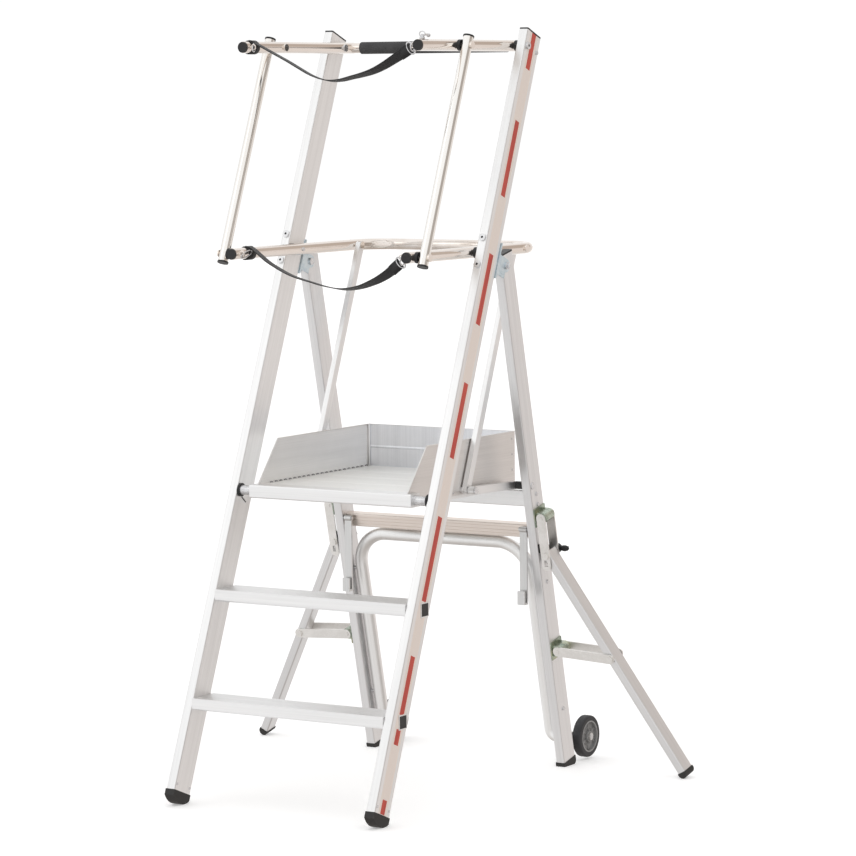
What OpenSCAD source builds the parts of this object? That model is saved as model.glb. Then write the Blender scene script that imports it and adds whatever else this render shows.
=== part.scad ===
// Podium step: a folding, wheeled work platform with two steps, a railed deck and swing-out outriggers.
// X runs across the ladder, Y from the climber to the back, Z up. All lengths are in millimetres.

/* [Overall] */
// Width over the two front stiles
front_w = 586; // [560:2:620]
// Lean of the front stiles from upright, in degrees
stile_lean = 22; // [21:0.25:23]
// Lean of the rear legs from upright, in degrees
rear_lean = 13.2; // [12.4:0.2:14]
// Rise from the floor to the lower step and on to the upper step
step_rise = 250; // [235:1:255]
// Height of the standing deck
deck_h = 746; // [744:0.5:750]
// Length of stile above the top rail's pivot
stile_over = 38; // [30:1:50]
// Height of the middle rail above the deck
mid_rail_rise = 558; // [545:1:570]
// Height of the top rail above the deck
top_rail_rise = 1051; // [1030:1:1055]

/* [Stiles and steps] */
// Width of a stile across the ladder
stile_w = 24; // [22:1:28]
// Depth of a stile from front to back
stile_d = 68; // [64:1:72]
// Wall of the stile, leg and step sections
box_wall = 2; // [1.6:0.1:2.6]
// Corner radius of the stile and leg sections
box_r = 3; // [2.6:0.1:4]
// Width of the foil let into the outer face of a stile
foil_w = 38; // [30:1:44]
// Depth of the recess that holds the foil
foil_t = 0.5; // [0.3:0.1:0.8]
// Depth of a step from front to back
step_d = 90; // [84:1:94]
// Height of a step's front face
step_h = 25; // [22:1:29]
// Height of the box that carries a step through the stiles
step_box_h = 34; // [32:1:38]
// Depth of the box that carries a step through the stiles
step_box_d = 34; // [30:1:36]
// Thickness of a front foot's sole at its middle
foot_h = 29; // [26:1:32]
// Radius of a front foot's rocker
foot_r = 50; // [46:1:54]

/* [Rails] */
// Diameter of the rail tubes
rail_d = 28; // [26:0.5:29]
// Wall of the rail and post tubes
rail_wall = 2; // [1.5:0.1:2.5]
// Diameter of the posts that tie the two rails
post_d = 25; // [22:0.5:26]
// Thickness of the bushes between a rail and what it turns on
bush_t = 9; // [8:0.5:10]
// Diameter of the bushes
bush_d = 27; // [24:0.5:28]
// Diameter of the pivot bolts
bolt_d = 10; // [8:0.5:12]
// Distance of the pivots behind a stile's front face
pivot_in = 14; // [13:0.5:16]
// Forward reach of the top rail from its pivot
top_rail_reach = 430; // [380:2:460]
// Forward reach of the middle rail from its pivot
mid_rail_reach = 290; // [286:1:310]
// Backward reach of the middle rail from its pivot
mid_rail_back = 333; // [328:1:360]
// Bend radius of the middle rail
mid_rail_bend = 80; // [60:1:85]
// Forward distance of the posts from the stile pivots
post_reach = 268; // [262:1:270]
// Length of post past each rail's axis
post_over = 20; // [18:1:26]
// Backward distance of the grip bar from the top pivot
grip_back = 45; // [42:1:50]
// Diameter of the grip bar
grip_d = 25; // [22:0.5:26]
// Diameter of the sleeve on the grip bar
sleeve_d = 30; // [28:1:34]
// Gap between an end of the sleeve and the rail's arm
sleeve_gap = 22; // [3:1:40]

/* [Deck] */
// Depth of the deck behind its pivot
deck_d = 495; // [480:1:500]
// Forward reach of the deck's nose from its pivot
nose_reach = 21; // [19:0.5:24]
// Height of the nose section
nose_h = 32; // [30:0.5:34]
// Gap between an end of the nose and the stile
nose_gap = 40; // [36:1:44]
// Diameter of the tube that the deck turns on
deck_tube_d = 24; // [20:0.5:25]
// Number of deck planks
plank_n = 4; // [3:1:5]
// Thickness of a plank
plank_t = 10; // [8:0.5:11]
// Height of the toe boards above the deck
board_h = 106; // [90:1:120]
// Sheet thickness of the toe boards
sheet_t = 1.5; // [1:0.1:2]
// Distance of the link pivots behind the deck's pivot
link_reach = 245; // [240:1:250]
// Depth of a link bar
link_d = 20; // [18:0.5:22]
// Width of a link bar
link_w = 13; // [11:0.5:14]
// Height of a side strut
strut_t = 19; // [16:0.5:20]
// Width of a side strut
strut_w = 16; // [14:0.5:18]

/* [Rear frame] */
// Width of a rear leg
leg_w = 24; // [22:1:26]
// Depth of a rear leg
leg_d = 56; // [52:1:58]
// Distance of the rear hinge behind the stile
hinge_back = 38; // [37:0.5:42]
// Distance of the rear pivots behind a leg's front face
leg_pivot_in = 14; // [13:0.5:16]
// Length of leg above the rear hinge
leg_over = 26; // [24:1:28]
// Drop of the strut pivot on a leg below the deck's top
strut_pivot_drop = 22; // [19:0.5:23]
// Drop of the beam that the deck rests on below the deck's top
rest_beam_drop = 35; // [35:0.5:37]
// Height of the rest beam's section
rest_beam_t = 40; // [34:1:42]
// Depth of the rest beam's section
rest_beam_d = 30; // [26:1:32]
// Gap between the rest beam and the ribbed crossbar under it
crossbar_drop = 45; // [36:1:54]
// Height of the crossbar's section
crossbar_t = 34; // [30:1:36]
// Depth of the crossbar's section
crossbar_d = 22; // [18:1:24]
// Gap between the crossbar and the brace tube under it
brace_drop = 2; // [1:0.5:8]
// Diameter of the brace tube
brace_d = 32; // [28:1:33]
// Bend radius of the brace tube's shoulders
brace_bend = 85; // [70:1:95]
// Gap between the brace tube and a leg
brace_gap = 4; // [3:0.5:8]
// Height of the axis of the brace tube's feet
brace_foot_h = 75; // [70:1:85]
// Length of a retaining hook below its pivot
hook_l = 186; // [160:1:192]

/* [Outriggers] */
// Drop of an outrigger's upper pivot below the rest beam
arm_pivot_drop = 23; // [20:1:26]
// Distance between an outrigger's upper and lower pivots on the leg
pivot_spacing = 350; // [347:1:353]
// Length of an outrigger arm between its pivots
arm_l = 98; // [95:1:101]
// Distance along the outrigger leg from its upper bolt to the stay bolt
leg_to_stay = 299; // [296:1:302]
// Length of a stay between its bolts
stay_l = 147; // [144:1:150]
// Width of the outrigger leg in the plane of its swing
out_leg_w = 22; // [20:0.5:24]
// Depth of the outrigger leg
out_leg_d = 40; // [36:0.5:42]
// Distance of the outrigger pivots from a leg's outer face
pivot_out = 17; // [16:0.5:20]
// Thickness of the flat bars
flat_t = 4; // [3:0.2:5]
// Width of the flat bars
flat_w = 24; // [20:0.5:26]
// Span of the wing knobs
knob_span = 54; // [46:1:60]

/* [Wheels] */
// Diameter of a wheel
wheel_d = 106; // [96:1:110]
// Width of a wheel
wheel_w = 24; // [20:0.5:26]
// Height of a wheel above the floor while the legs stand
wheel_lift = 6; // [4:0.5:10]
// Distance of the axle behind the leg's rear face
axle_back = 78; // [66:1:84]
// Diameter of the axle
axle_d = 14; // [12:0.5:16]

/* [Hidden] */
$fn = 48;

// Clearances shared by every fit
overrun = 1;
fit = 0.05;
play = 0.3;
side_gap = 3;

// Layers across the ladder, from the stile inwards
half_w = front_w / 2;
x_in = half_w - stile_w;
rail_r = rail_d / 2;
rail_x = x_in - bush_t - rail_r;
post_x = rail_x + rail_r + bush_t + post_d / 2;
link_x1 = rail_x - rail_r - side_gap;
link_x0 = link_x1 - link_w;
board_x = link_x0 - side_gap;
deck_half = board_x - sheet_t;
strut_x0 = link_x1 + side_gap;
strut_x1 = strut_x0 + strut_w;
leg_x1 = half_w;
leg_x0 = leg_x1 - leg_w;
brace_x = leg_x0 - brace_gap - brace_d / 2;
swing_x = leg_x1 + pivot_out;

// Stations along the stile, measured from the floor line at its front face
function stile_y(s, n) = s * sin(stile_lean) + n * cos(stile_lean);
function stile_z(s, n) = s * cos(stile_lean) - n * sin(stile_lean);
function stile_s(z, n) = (z + n * sin(stile_lean)) / cos(stile_lean);
deck_pivot_drop = nose_h / 2;
deck_z = deck_h - deck_pivot_drop;
deck_s = stile_s(deck_z, pivot_in);
deck_y = stile_y(deck_s, pivot_in);
mid_z = deck_h + mid_rail_rise;
mid_s = stile_s(mid_z, pivot_in);
mid_y = stile_y(mid_s, pivot_in);
top_z = deck_h + top_rail_rise;
top_s = stile_s(top_z, pivot_in);
top_y = stile_y(top_s, pivot_in);
stile_l = top_s + stile_over;
hinge_n = stile_d + hinge_back;
hinge_y = stile_y(mid_s, hinge_n);
hinge_z = stile_z(mid_s, hinge_n);

// Stations on the rear leg, measured from the hinge: m back from the pivot line, t up the leg
function leg_y(m, t) = hinge_y + m * cos(rear_lean) - t * sin(rear_lean);
function leg_t(z, m) = (z - hinge_z - m * sin(rear_lean)) / cos(rear_lean);
leg_front = -leg_pivot_in;
leg_rear = leg_d - leg_pivot_in;
leg_mid = (leg_front + leg_rear) / 2;
strut_pivot_h = deck_h - strut_pivot_drop;
strut_pivot_t = leg_t(strut_pivot_h, 0);
strut_pivot_y = leg_y(0, strut_pivot_t);
link_y = deck_y + link_reach;
strut_l = norm([strut_pivot_y - link_y, strut_pivot_h - deck_z]);
strut_tilt = atan2(strut_pivot_h - deck_z, strut_pivot_y - link_y);
link_l = mid_s - deck_s;

// Wheel centre, and the shift that centres the whole part on its origin
wheel_z = wheel_lift + wheel_d / 2;
wheel_m = leg_rear + axle_back;
wheel_y = leg_y(wheel_m, leg_t(wheel_z, wheel_m));
foot_lip = 1;
foot_side = 1;
foot_c = stile_d / 2;
foot_s = (foot_r + foot_c * sin(stile_lean)) / cos(stile_lean);
foot_half = foot_c + foot_lip;
foot_edge_s = foot_s - sqrt(foot_r * foot_r - foot_half * foot_half);
front_y = stile_y(foot_edge_s, -foot_lip);
shift_y = (front_y + wheel_y + wheel_d / 2) / 2;

// Small fittings
head_d = 1.8 * bolt_d;
head_t = 0.4 * bolt_d;
cap_t = 4;
plug_l = 12;
cap_lip = 2;
stile_foot_s = foot_s - foot_r + foot_h;
step_nose = 7;
tread_t = 3;
rib_n = 9;
rib_t = 1.2;
rivet_d = 10;
rivet_t = 2;

// Outrigger linkage in the plane of the leg: u outwards from the leg, t up the leg
rest_beam_h = deck_h - rest_beam_drop;
arm_pivot_h = rest_beam_h - rest_beam_t - arm_pivot_drop;
arm_t = leg_t(arm_pivot_h, leg_mid);
stay_t = arm_t - pivot_spacing;
bolt_t = arm_t - arm_l;
reach_share = (pow(pivot_spacing - arm_l, 2) + pow(leg_to_stay, 2) - pow(stay_l, 2))
    / (2 * (pivot_spacing - arm_l) * leg_to_stay);
out_lean = acos(reach_share);
stay_bolt_u = leg_to_stay * sin(out_lean);
stay_bolt_t = bolt_t - leg_to_stay * cos(out_lean);
stay_tilt = atan2(stay_bolt_t - stay_t, stay_bolt_u);
out_leg_over = 8;
out_foot_r = out_leg_w / 2 + foot_side;
out_plate_n = out_leg_d / 2 + side_gap / 3;

// Straps: places across the gap as shares of the eye's distance, with their drops as shares of the sag
strap_w = 25;
strap_t = 2.4;
strap_sag = 75;
upper_strap_shares = [
    [-1, 0], [-0.92, 0.1], [-0.8, 0.22], [-0.66, 0.35], [-0.52, 0.5], [-0.38, 0.66], [-0.24, 0.81],
    [-0.1, 0.94], [0.04, 1], [0.2, 0.95], [0.36, 0.84], [0.52, 0.72], [0.68, 0.55], [0.84, 0.32],
    [0.93, 0.16], [1, 0]];
lower_strap_shares = [
    [-1, 0], [-0.92, 0.08], [-0.8, 0.2], [-0.66, 0.32], [-0.52, 0.45], [-0.38, 0.57], [-0.24, 0.68],
    [-0.1, 0.78], [0.06, 0.88], [0.24, 0.95], [0.4, 0.94], [0.54, 0.86], [0.7, 0.67], [0.84, 0.4],
    [0.93, 0.19], [1, 0]];
strap_twist = [5, 80];

// Shared shapes

// Move the working frame so that the part stands centred on its origin
module placed() {
    translate([0, -shift_y, 0]) children();
}

// Draw a right-hand piece on both sides
module both() {
    children();
    mirror([1, 0, 0]) children();
}

// Draw a right-hand piece on the left side only
module left_hand() {
    mirror([1, 0, 0]) children();
}

// Frame of the stile: y back from its front face, z along it
module in_stile() {
    rotate([-stile_lean, 0, 0]) children();
}

// Frame of the rear leg: y back from its pivot line, z up along it, from the rear hinge
module in_leg() {
    translate([0, hinge_y, hinge_z]) rotate([rear_lean, 0, 0]) children();
}

// Extrude a (y, z) outline across the ladder
module across(x0, x1) {
    translate([x0, 0, 0]) rotate([90, 0, 90]) linear_extrude(x1 - x0) children();
}

// Round bar across the ladder
module bar_x(x0, x1, d) {
    translate([x0, 0, 0]) rotate([0, 90, 0]) cylinder(d = d, h = x1 - x0);
}

// Ring across the ladder
module ring_x(x0, x1, d, bore) {
    difference() {
        bar_x(x0, x1, d);
        bar_x(x0 - overrun, x1 + overrun, bore);
    }
}

// Round bar from front to back
module bar_y(y0, y1, d) {
    translate([0, y0, 0]) rotate([-90, 0, 0]) cylinder(d = d, h = y1 - y0);
}

// Rectangle with round corners
module rounded(w, d, r) {
    square([w - 2 * r, d], center = true);
    square([w, d - 2 * r], center = true);
    for (sx = [-1, 1], sy = [-1, 1])
        translate([sx * (w / 2 - r), sy * (d / 2 - r)]) circle(r);
}

// Flat bar outline with round ends, from the origin along +x
module slotted(l, w) {
    translate([0, -w / 2]) square([l, w]);
    circle(d = w);
    translate([l, 0]) circle(d = w);
}

// Closed tube with square corners: outer prism less inner prism
module box_section(w, d, r) {
    difference() {
        rounded(w, d, r);
        square([w - 2 * box_wall, d - 2 * box_wall], center = true);
    }
}

// Outline of a plug that fits inside a closed tube with square corners
module box_plug(w, d) {
    square([w - 2 * box_wall - 2 * fit, d - 2 * box_wall - 2 * fit], center = true);
}

// Ladder

function step_y(k) = k * step_rise * tan(stile_lean) - step_nose;
step_box_y = (step_d - step_box_d) / 2 + step_nose / 2;

// The two carrying boxes of the steps, as solid prisms grown by a margin
module step_boxes(grow, x1) {
    for (k = [1, 2])
        translate([0, step_y(k), k * step_rise]) across(-x1, x1)
            translate([step_box_y - grow, -step_box_h - grow])
                square([step_box_d + 2 * grow, step_box_h + 2 * grow]);
}

// Two bolts carry each rear hinge bracket on the back of a stile
hinge_bolt_d = 8;
hinge_spread = 34;
hinge_bolt_s = [mid_s - hinge_spread, mid_s + hinge_spread];
plate_t = 3;

module stile() {
    difference() {
        in_stile() translate([half_w - stile_w / 2, stile_d / 2, stile_foot_s])
            linear_extrude(stile_l - stile_foot_s) difference() {
                box_section(stile_w, stile_d, box_r);
                translate([stile_w / 2 - foil_t, -foil_w / 2]) square([foil_t + overrun, foil_w]);
            }
        step_boxes(fit, half_w + overrun);
        in_stile() {
            translate([0, pivot_in, deck_s])
                bar_x(x_in - overrun, x_in + 2 * box_wall, deck_tube_d + 2 * fit);
            translate([0, pivot_in, mid_s]) bar_x(x_in - overrun, x_in + 2 * box_wall, bolt_d + 2 * fit);
            translate([0, pivot_in, top_s]) bar_x(x_in - overrun, half_w + overrun, bolt_d + 2 * fit);
            for (s = hinge_bolt_s)
                translate([half_w - stile_w / 2, 0, s])
                    bar_y(-overrun, stile_d + overrun, hinge_bolt_d + 2 * fit);
        }
    }
}

module left_stile() {
    color("gainsboro") placed() left_hand() stile();
}

module right_stile() {
    color("gainsboro") placed() stile();
}

// Foil along the whole stile, cut out round the step boxes and the top rail's bolt
foil_s0 = stile_foot_s + play;
foil_s1 = stile_l - play;

module stile_foils() {
    color("firebrick") placed() both() difference() {
        in_stile() translate([half_w - foil_t, (stile_d - foil_w) / 2, foil_s0])
            cube([foil_t, foil_w, foil_s1 - foil_s0]);
        step_boxes(overrun, half_w + overrun);
        in_stile() translate([0, pivot_in, top_s]) bar_x(x_in, half_w + overrun, bolt_d + 2 * fit);
    }
}

module step(k) {
    color("whitesmoke") placed() translate([0, step_y(k), k * step_rise]) {
        across(-x_in, x_in) difference() {
            union() {
                translate([0, -tread_t]) square([step_d, tread_t]);
                translate([0, -step_h]) square([tread_t, step_h]);
                translate([step_d - tread_t, -step_h]) square([tread_t, step_h]);
                translate([step_box_y, -step_box_h]) square([step_box_d, step_box_h]);
            }
            translate([step_box_y + box_wall, box_wall - step_box_h])
                square([step_box_d - 2 * box_wall, step_box_h - 2 * box_wall]);
            for (i = [1 : rib_n])
                translate([i * step_d / (rib_n + 1), -rib_t]) square([rib_t, rib_t + overrun]);
        }
        both() across(x_in, half_w + rib_t) difference() {
            translate([step_box_y, -step_box_h]) square([step_box_d, step_box_h]);
            translate([step_box_y + box_wall, box_wall - step_box_h])
                square([step_box_d - 2 * box_wall, step_box_h - 2 * box_wall]);
        }
    }
}

module lower_step() {
    step(1);
}

module upper_step() {
    step(2);
}

module step_plugs() {
    color("black") placed() both() for (k = [1, 2])
        translate([0, step_y(k), k * step_rise]) across(half_w - stile_w / 2, half_w + rib_t / 2)
            translate([step_box_y + box_wall + fit, box_wall + fit - step_box_h])
                square([step_box_d - 2 * box_wall - 2 * fit, step_box_h - 2 * box_wall - 2 * fit]);
}

module stile_caps() {
    color("black") placed() both() in_stile() translate([half_w - stile_w / 2, stile_d / 2, stile_l]) {
        linear_extrude(cap_t) rounded(stile_w, stile_d, box_r);
        translate([0, 0, -plug_l]) linear_extrude(plug_l) box_plug(stile_w, stile_d);
    }
}

// Rocker sole under each stile's end, with a plug that holds it
module front_feet() {
    color("black") placed() both() in_stile() {
        across(x_in - foot_side, half_w + foot_side) intersection() {
            translate([foot_c, foot_s]) circle(foot_r, $fn = 96);
            translate([-foot_lip, 0]) square([2 * foot_half, stile_foot_s]);
        }
        translate([half_w - stile_w / 2, foot_c, stile_foot_s]) linear_extrude(plug_l)
            box_plug(stile_w, stile_d);
    }
}

// Rivets of the feet beside the foil and on the inner face, and the hinge brackets' bolts
foot_rivet_d = 6.5;
foot_rivet_t = 1;
foot_rivet_s = stile_foot_s + foot_h / 2;
foot_rivet_n = (stile_d - foil_w) / 4;

module stile_fasteners() {
    color("silver") placed() both() in_stile() {
        for (n = [foot_rivet_n, stile_d - foot_rivet_n])
            translate([0, n, foot_rivet_s]) {
                bar_x(half_w, half_w + foot_rivet_t, foot_rivet_d);
                bar_x(x_in - foot_rivet_t, x_in, foot_rivet_d);
            }
        for (s = hinge_bolt_s)
            translate([half_w - stile_w / 2, 0, s]) {
                bar_y(-head_t, 0, head_d);
                bar_y(-head_t, stile_d + plate_t + head_t, hinge_bolt_d);
                bar_y(stile_d + plate_t, stile_d + plate_t + head_t, head_d);
            }
        translate([0, stile_d - pivot_in / 2, top_s]) bar_x(half_w, half_w + rivet_t, rivet_d);
    }
}

module deck_tube() {
    color("silver") placed() in_stile() translate([0, pivot_in, deck_s])
        ring_x(-x_in - box_wall, x_in + box_wall, deck_tube_d, deck_tube_d - 2 * rail_wall);
}

module pivot_bushes() {
    color("black") placed() both() in_stile() {
        translate([0, pivot_in, deck_s])
            ring_x(x_in - bush_t / 2, x_in, deck_tube_d + bush_t, deck_tube_d + 2 * fit);
        for (s = [mid_s, top_s])
            translate([0, pivot_in, s]) ring_x(x_in - bush_t + play, x_in, bush_d, bolt_d + 2 * fit);
    }
}

module rail_bolts() {
    color("silver") placed() both() in_stile() {
        translate([0, pivot_in, top_s]) {
            bar_x(rail_x - rail_r - head_t, half_w + head_t, bolt_d);
            bar_x(rail_x - rail_r - head_t, rail_x - rail_r - play, head_d);
            bar_x(half_w, half_w + head_t, head_d);
        }
        translate([0, pivot_in, mid_s]) {
            bar_x(rail_x - rail_r - side_gap + play, x_in + box_wall + head_t, bolt_d);
            bar_x(x_in + box_wall, x_in + box_wall + head_t, head_d);
        }
    }
}

// Bent plate on the back of each stile whose two cheeks hold the leg
bracket_l = 2.6 * hinge_spread;
cheek_r = 16;

module hinge_brackets() {
    color("lightsteelblue") placed() both() in_stile() difference() {
        union() {
            translate([x_in - plate_t - play, stile_d, mid_s - bracket_l / 2])
                cube([leg_w + 2 * plate_t + 2 * play, plate_t, bracket_l]);
            for (x0 = [leg_x0 - plate_t - play, leg_x1 + play])
                across(x0, x0 + plate_t) {
                    translate([stile_d, mid_s - 2 * cheek_r]) square([hinge_back, 3 * cheek_r]);
                    translate([hinge_n, mid_s]) circle(cheek_r);
                }
        }
        translate([0, hinge_n, mid_s])
            bar_x(leg_x0 - stile_w, leg_x1 + stile_w, bolt_d + 2 * fit);
        for (s = hinge_bolt_s)
            translate([half_w - stile_w / 2, 0, s]) bar_y(0, hinge_n, hinge_bolt_d + 2 * fit);
    }
}

module hinge_pins() {
    color("silver") placed() both() in_stile() translate([0, hinge_n, mid_s]) {
        bar_x(leg_x0 - plate_t - play, leg_x1 + plate_t + play, bolt_d);
        bar_x(leg_x1 + plate_t + play, leg_x1 + plate_t + play + head_t, head_d);
        bar_x(leg_x0 - plate_t - play - head_t, leg_x0 - plate_t - play, head_d);
    }
}

// Deck

// Frame of the deck, with its pivot at the origin
module on_deck() {
    placed() translate([0, deck_y, deck_z]) children();
}

// Nose section, longer than the planks behind it
nose_round = 4;
nose_half = x_in - nose_gap;

module deck_nose() {
    color("whitesmoke") on_deck() across(-nose_half, nose_half) difference() {
        union() {
            translate([-nose_reach + nose_round, -nose_h / 2]) square([2 * nose_reach - nose_round, nose_h]);
            translate([-nose_reach, nose_round - nose_h / 2])
                square([2 * nose_reach, nose_h - 2 * nose_round]);
            for (z = [nose_round - nose_h / 2, nose_h / 2 - nose_round])
                translate([nose_round - nose_reach, z]) circle(nose_round);
        }
        circle(d = deck_tube_d + 2 * fit);
    }
}

// Planks lie across the deck behind the nose: a ribbed top on two edge webs
plank_y0 = nose_reach;
plank_d = (deck_d - sheet_t - plank_y0) / plank_n;
web_t = 2;
plank_gap = 0.6;
plank_rib_n = 9;
plank_pitch = (plank_d - plank_gap) / (plank_rib_n - 0.5);

module deck_planks() {
    color("gainsboro") on_deck() for (i = [0 : plank_n - 1])
        translate([0, plank_y0 + i * plank_d, deck_pivot_drop]) across(-deck_half, deck_half) {
            translate([0, -tread_t]) square([plank_d - plank_gap, tread_t - rib_t]);
            for (y = [0, plank_d - plank_gap - web_t])
                translate([y, -plank_t]) square([web_t, plank_t - rib_t]);
            for (j = [0 : plank_rib_n - 1])
                translate([j * plank_pitch, -tread_t]) square([plank_pitch / 2, tread_t]);
        }
}

// Box beams under the plank ends
beam_z1 = deck_pivot_drop - plank_t;
beam_z0 = -deck_z + rest_beam_h + play;
beam_w = 22;

module side_beams() {
    color("silver") on_deck() both() translate([deck_half - beam_w, nose_reach, beam_z0]) difference() {
        cube([beam_w, deck_d - sheet_t - nose_reach, beam_z1 - beam_z0]);
        translate([box_wall, -overrun, box_wall])
            cube([beam_w - 2 * box_wall, deck_d, beam_z1 - beam_z0 - 2 * box_wall]);
        translate([0, link_reach - nose_reach, -beam_z0])
            bar_x(-overrun, beam_w + overrun, bolt_d + 2 * fit);
    }
}

// Side sheet: stands behind and on top of the nose, full height from a slanted front edge on
board_z0 = -11;
board_front = 8;
board_slant = 87;
board_top = board_h + deck_pivot_drop;
nose_back = nose_reach + play;
nose_top = nose_h / 2 + play;

module side_board() {
    color("lightgray") on_deck() difference() {
        across(deck_half, board_x) polygon([
            [nose_back, board_z0], [nose_back, nose_top], [-board_front, nose_top],
            [board_slant - board_front, board_top], [deck_d + sheet_t, board_top],
            [deck_d + sheet_t, board_z0]]);
        translate([0, link_reach, 0]) bar_x(0, half_w, bolt_d + 2 * fit);
    }
}

module left_toe_board() {
    mirror([1, 0, 0]) side_board();
}

module right_toe_board() {
    side_board();
}

// Back sheet, with a shallow crease across its middle
crease_d = 4;
crease_share = 0.57;

module back_toe_board() {
    crease_z = board_z0 + crease_share * (board_top - board_z0);
    color("lightgray") on_deck() across(-deck_half, deck_half) polygon([
        [deck_d, board_z0], [deck_d - sheet_t, board_z0], [deck_d - sheet_t, crease_z - crease_d],
        [deck_d - 2 * sheet_t, crease_z], [deck_d - sheet_t, crease_z + crease_d],
        [deck_d - sheet_t, board_top], [deck_d, board_top]]);
}

module link_pins() {
    color("silver") on_deck() both() translate([0, link_reach, 0]) {
        bar_x(deck_half - beam_w - head_t, strut_x1 + head_t, bolt_d);
        bar_x(strut_x1 + play, strut_x1 + head_t, head_d);
        bar_x(deck_half - beam_w - head_t, deck_half - beam_w, head_d);
        ring_x(board_x, link_x0 - play, head_d, bolt_d);
    }
}

// Channel that ties the deck to the middle rail, open to the back
module link_bars() {
    color("silver") placed() both() translate([0, link_y, deck_z]) in_stile() difference() {
        across(link_x0, link_x1) rotate(90) slotted(link_l, link_d);
        translate([link_x0 + box_wall, box_wall - link_d / 2, -link_d])
            cube([link_w - 2 * box_wall, link_d, link_l + 2 * link_d]);
        for (s = [0, link_l])
            translate([0, 0, s]) bar_x(0, half_w, bolt_d + 2 * fit);
    }
}

// Flat tube that ties the deck to the rear leg
module side_struts() {
    color("gainsboro") placed() both() translate([0, link_y, deck_z]) rotate([strut_tilt, 0, 0])
    difference() {
        across(strut_x0, strut_x1) slotted(strut_l, strut_t);
        translate([strut_x0 + box_wall, strut_t, -strut_t / 2 + box_wall])
            cube([strut_w - 2 * box_wall, strut_l - 2 * strut_t, strut_t - 2 * box_wall]);
        bar_x(0, half_w, bolt_d + 2 * fit);
        translate([0, strut_l, 0]) bar_x(strut_x0 + strut_w / 2, half_w, bolt_d + 2 * play);
    }
}

// Middle rail: a U of tube, open to the front

module mid_rail_path(d, over) {
    both() {
        translate([rail_x, 0, 0]) bar_y(-mid_rail_reach - over, mid_rail_back - mid_rail_bend, d);
        translate([rail_x - mid_rail_bend, mid_rail_back - mid_rail_bend, 0])
            rotate_extrude(angle = 90) translate([mid_rail_bend, 0]) circle(d = d);
    }
    translate([0, mid_rail_back, 0]) bar_x(mid_rail_bend - rail_x, rail_x - mid_rail_bend, d);
}

module on_mid_rail() {
    placed() translate([0, mid_y, mid_z]) children();
}

// Bores across a rail's arm for its pivots
module arm_bores(places) {
    both() for (y = places)
        translate([0, y, 0]) bar_x(rail_x - rail_d, rail_x + rail_d, bolt_d + 2 * fit);
}

module mid_rail() {
    color("tan") on_mid_rail() difference() {
        mid_rail_path(rail_d, 0);
        mid_rail_path(rail_d - 2 * rail_wall, overrun);
        arm_bores([-post_reach, 0, link_reach]);
        both() translate([0, eye_back - mid_rail_reach, 0]) eye_bore();
    }
}

// Black bush between a rail and a post
module post_bush() {
    ring_x(rail_x + rail_r, rail_x + rail_r + bush_t - play, bush_d, bolt_d + 2 * fit);
}

// Plug with a thin round head for a rail's open end
module rail_end() {
    bar_y(-cap_t, 0, rail_d - rail_wall);
    bar_y(0, 2 * cap_t, rail_d - 2 * rail_wall - 2 * fit);
}

module mid_rail_caps() {
    color("black") on_mid_rail() both() {
        translate([rail_x, -mid_rail_reach, 0]) rail_end();
        translate([0, -post_reach, 0]) post_bush();
    }
}

// Bolt on which a post turns, and an eye for the strap inside the rail
eye_r = 6;
eye_wire = 3;
eye_back = 12;
eye_stud = 6;
eye_x = rail_x - rail_r - eye_r - eye_wire / 2;

module post_pivot() {
    bar_x(rail_x - rail_r - head_t, post_x + post_d / 2 + head_t, bolt_d);
    bar_x(rail_x - rail_r - head_t, rail_x - rail_r, head_d);
    bar_x(post_x + post_d / 2 + play, post_x + post_d / 2 + head_t, head_d);
}

module strap_eye() {
    translate([eye_x, 0, 0]) rotate([90, 0, 0]) rotate_extrude() translate([eye_r, 0]) circle(d = eye_wire);
    bar_x(eye_x + eye_r, rail_x, eye_stud);
}

// Hole in a rail's inner side for the strap eye's stud
module eye_bore() {
    bar_x(eye_x, rail_x, eye_stud + 2 * fit);
}

module mid_rail_fittings() {
    color("silver") on_mid_rail() both() {
        translate([0, -post_reach, 0]) post_pivot();
        translate([0, eye_back - mid_rail_reach, 0]) strap_eye();
        translate([0, link_reach, 0]) {
            bar_x(link_x0, rail_x + rail_r + head_t, bolt_d);
            bar_x(rail_x + rail_r, rail_x + rail_r + head_t, head_d);
            bar_x(link_x0 - head_t / 2, link_x0 - play, head_d);
        }
    }
}

// Webbing swept from eye to eye, edge-on at the left and turning flat towards the right
strap_half = strap_w / 2;
strap_section = [
    [-strap_half, 0], [strap_t - strap_half, -strap_t / 2], [0, -strap_t / 2],
    [strap_half - strap_t, -strap_t / 2], [strap_half, 0], [strap_half - strap_t, strap_t / 2],
    [0, strap_t / 2], [strap_t - strap_half, strap_t / 2]];

function unit(v) = v / norm(v);

function strap_ring(points, i) =
    let (last = len(points) - 1)
    let (along = unit(points[min(i + 1, last)] - points[max(i - 1, 0)]))
    let (turn = strap_twist[0] + (strap_twist[1] - strap_twist[0]) * pow(i / last, 3))
    let (level = unit(cross([0, 1, 0], along)))
    let (wide = cos(turn) * [0, 1, 0] + sin(turn) * level)
    let (thick = cross(along, wide))
    [for (p = strap_section) points[i] + p[0] * wide + p[1] * thick];

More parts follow.
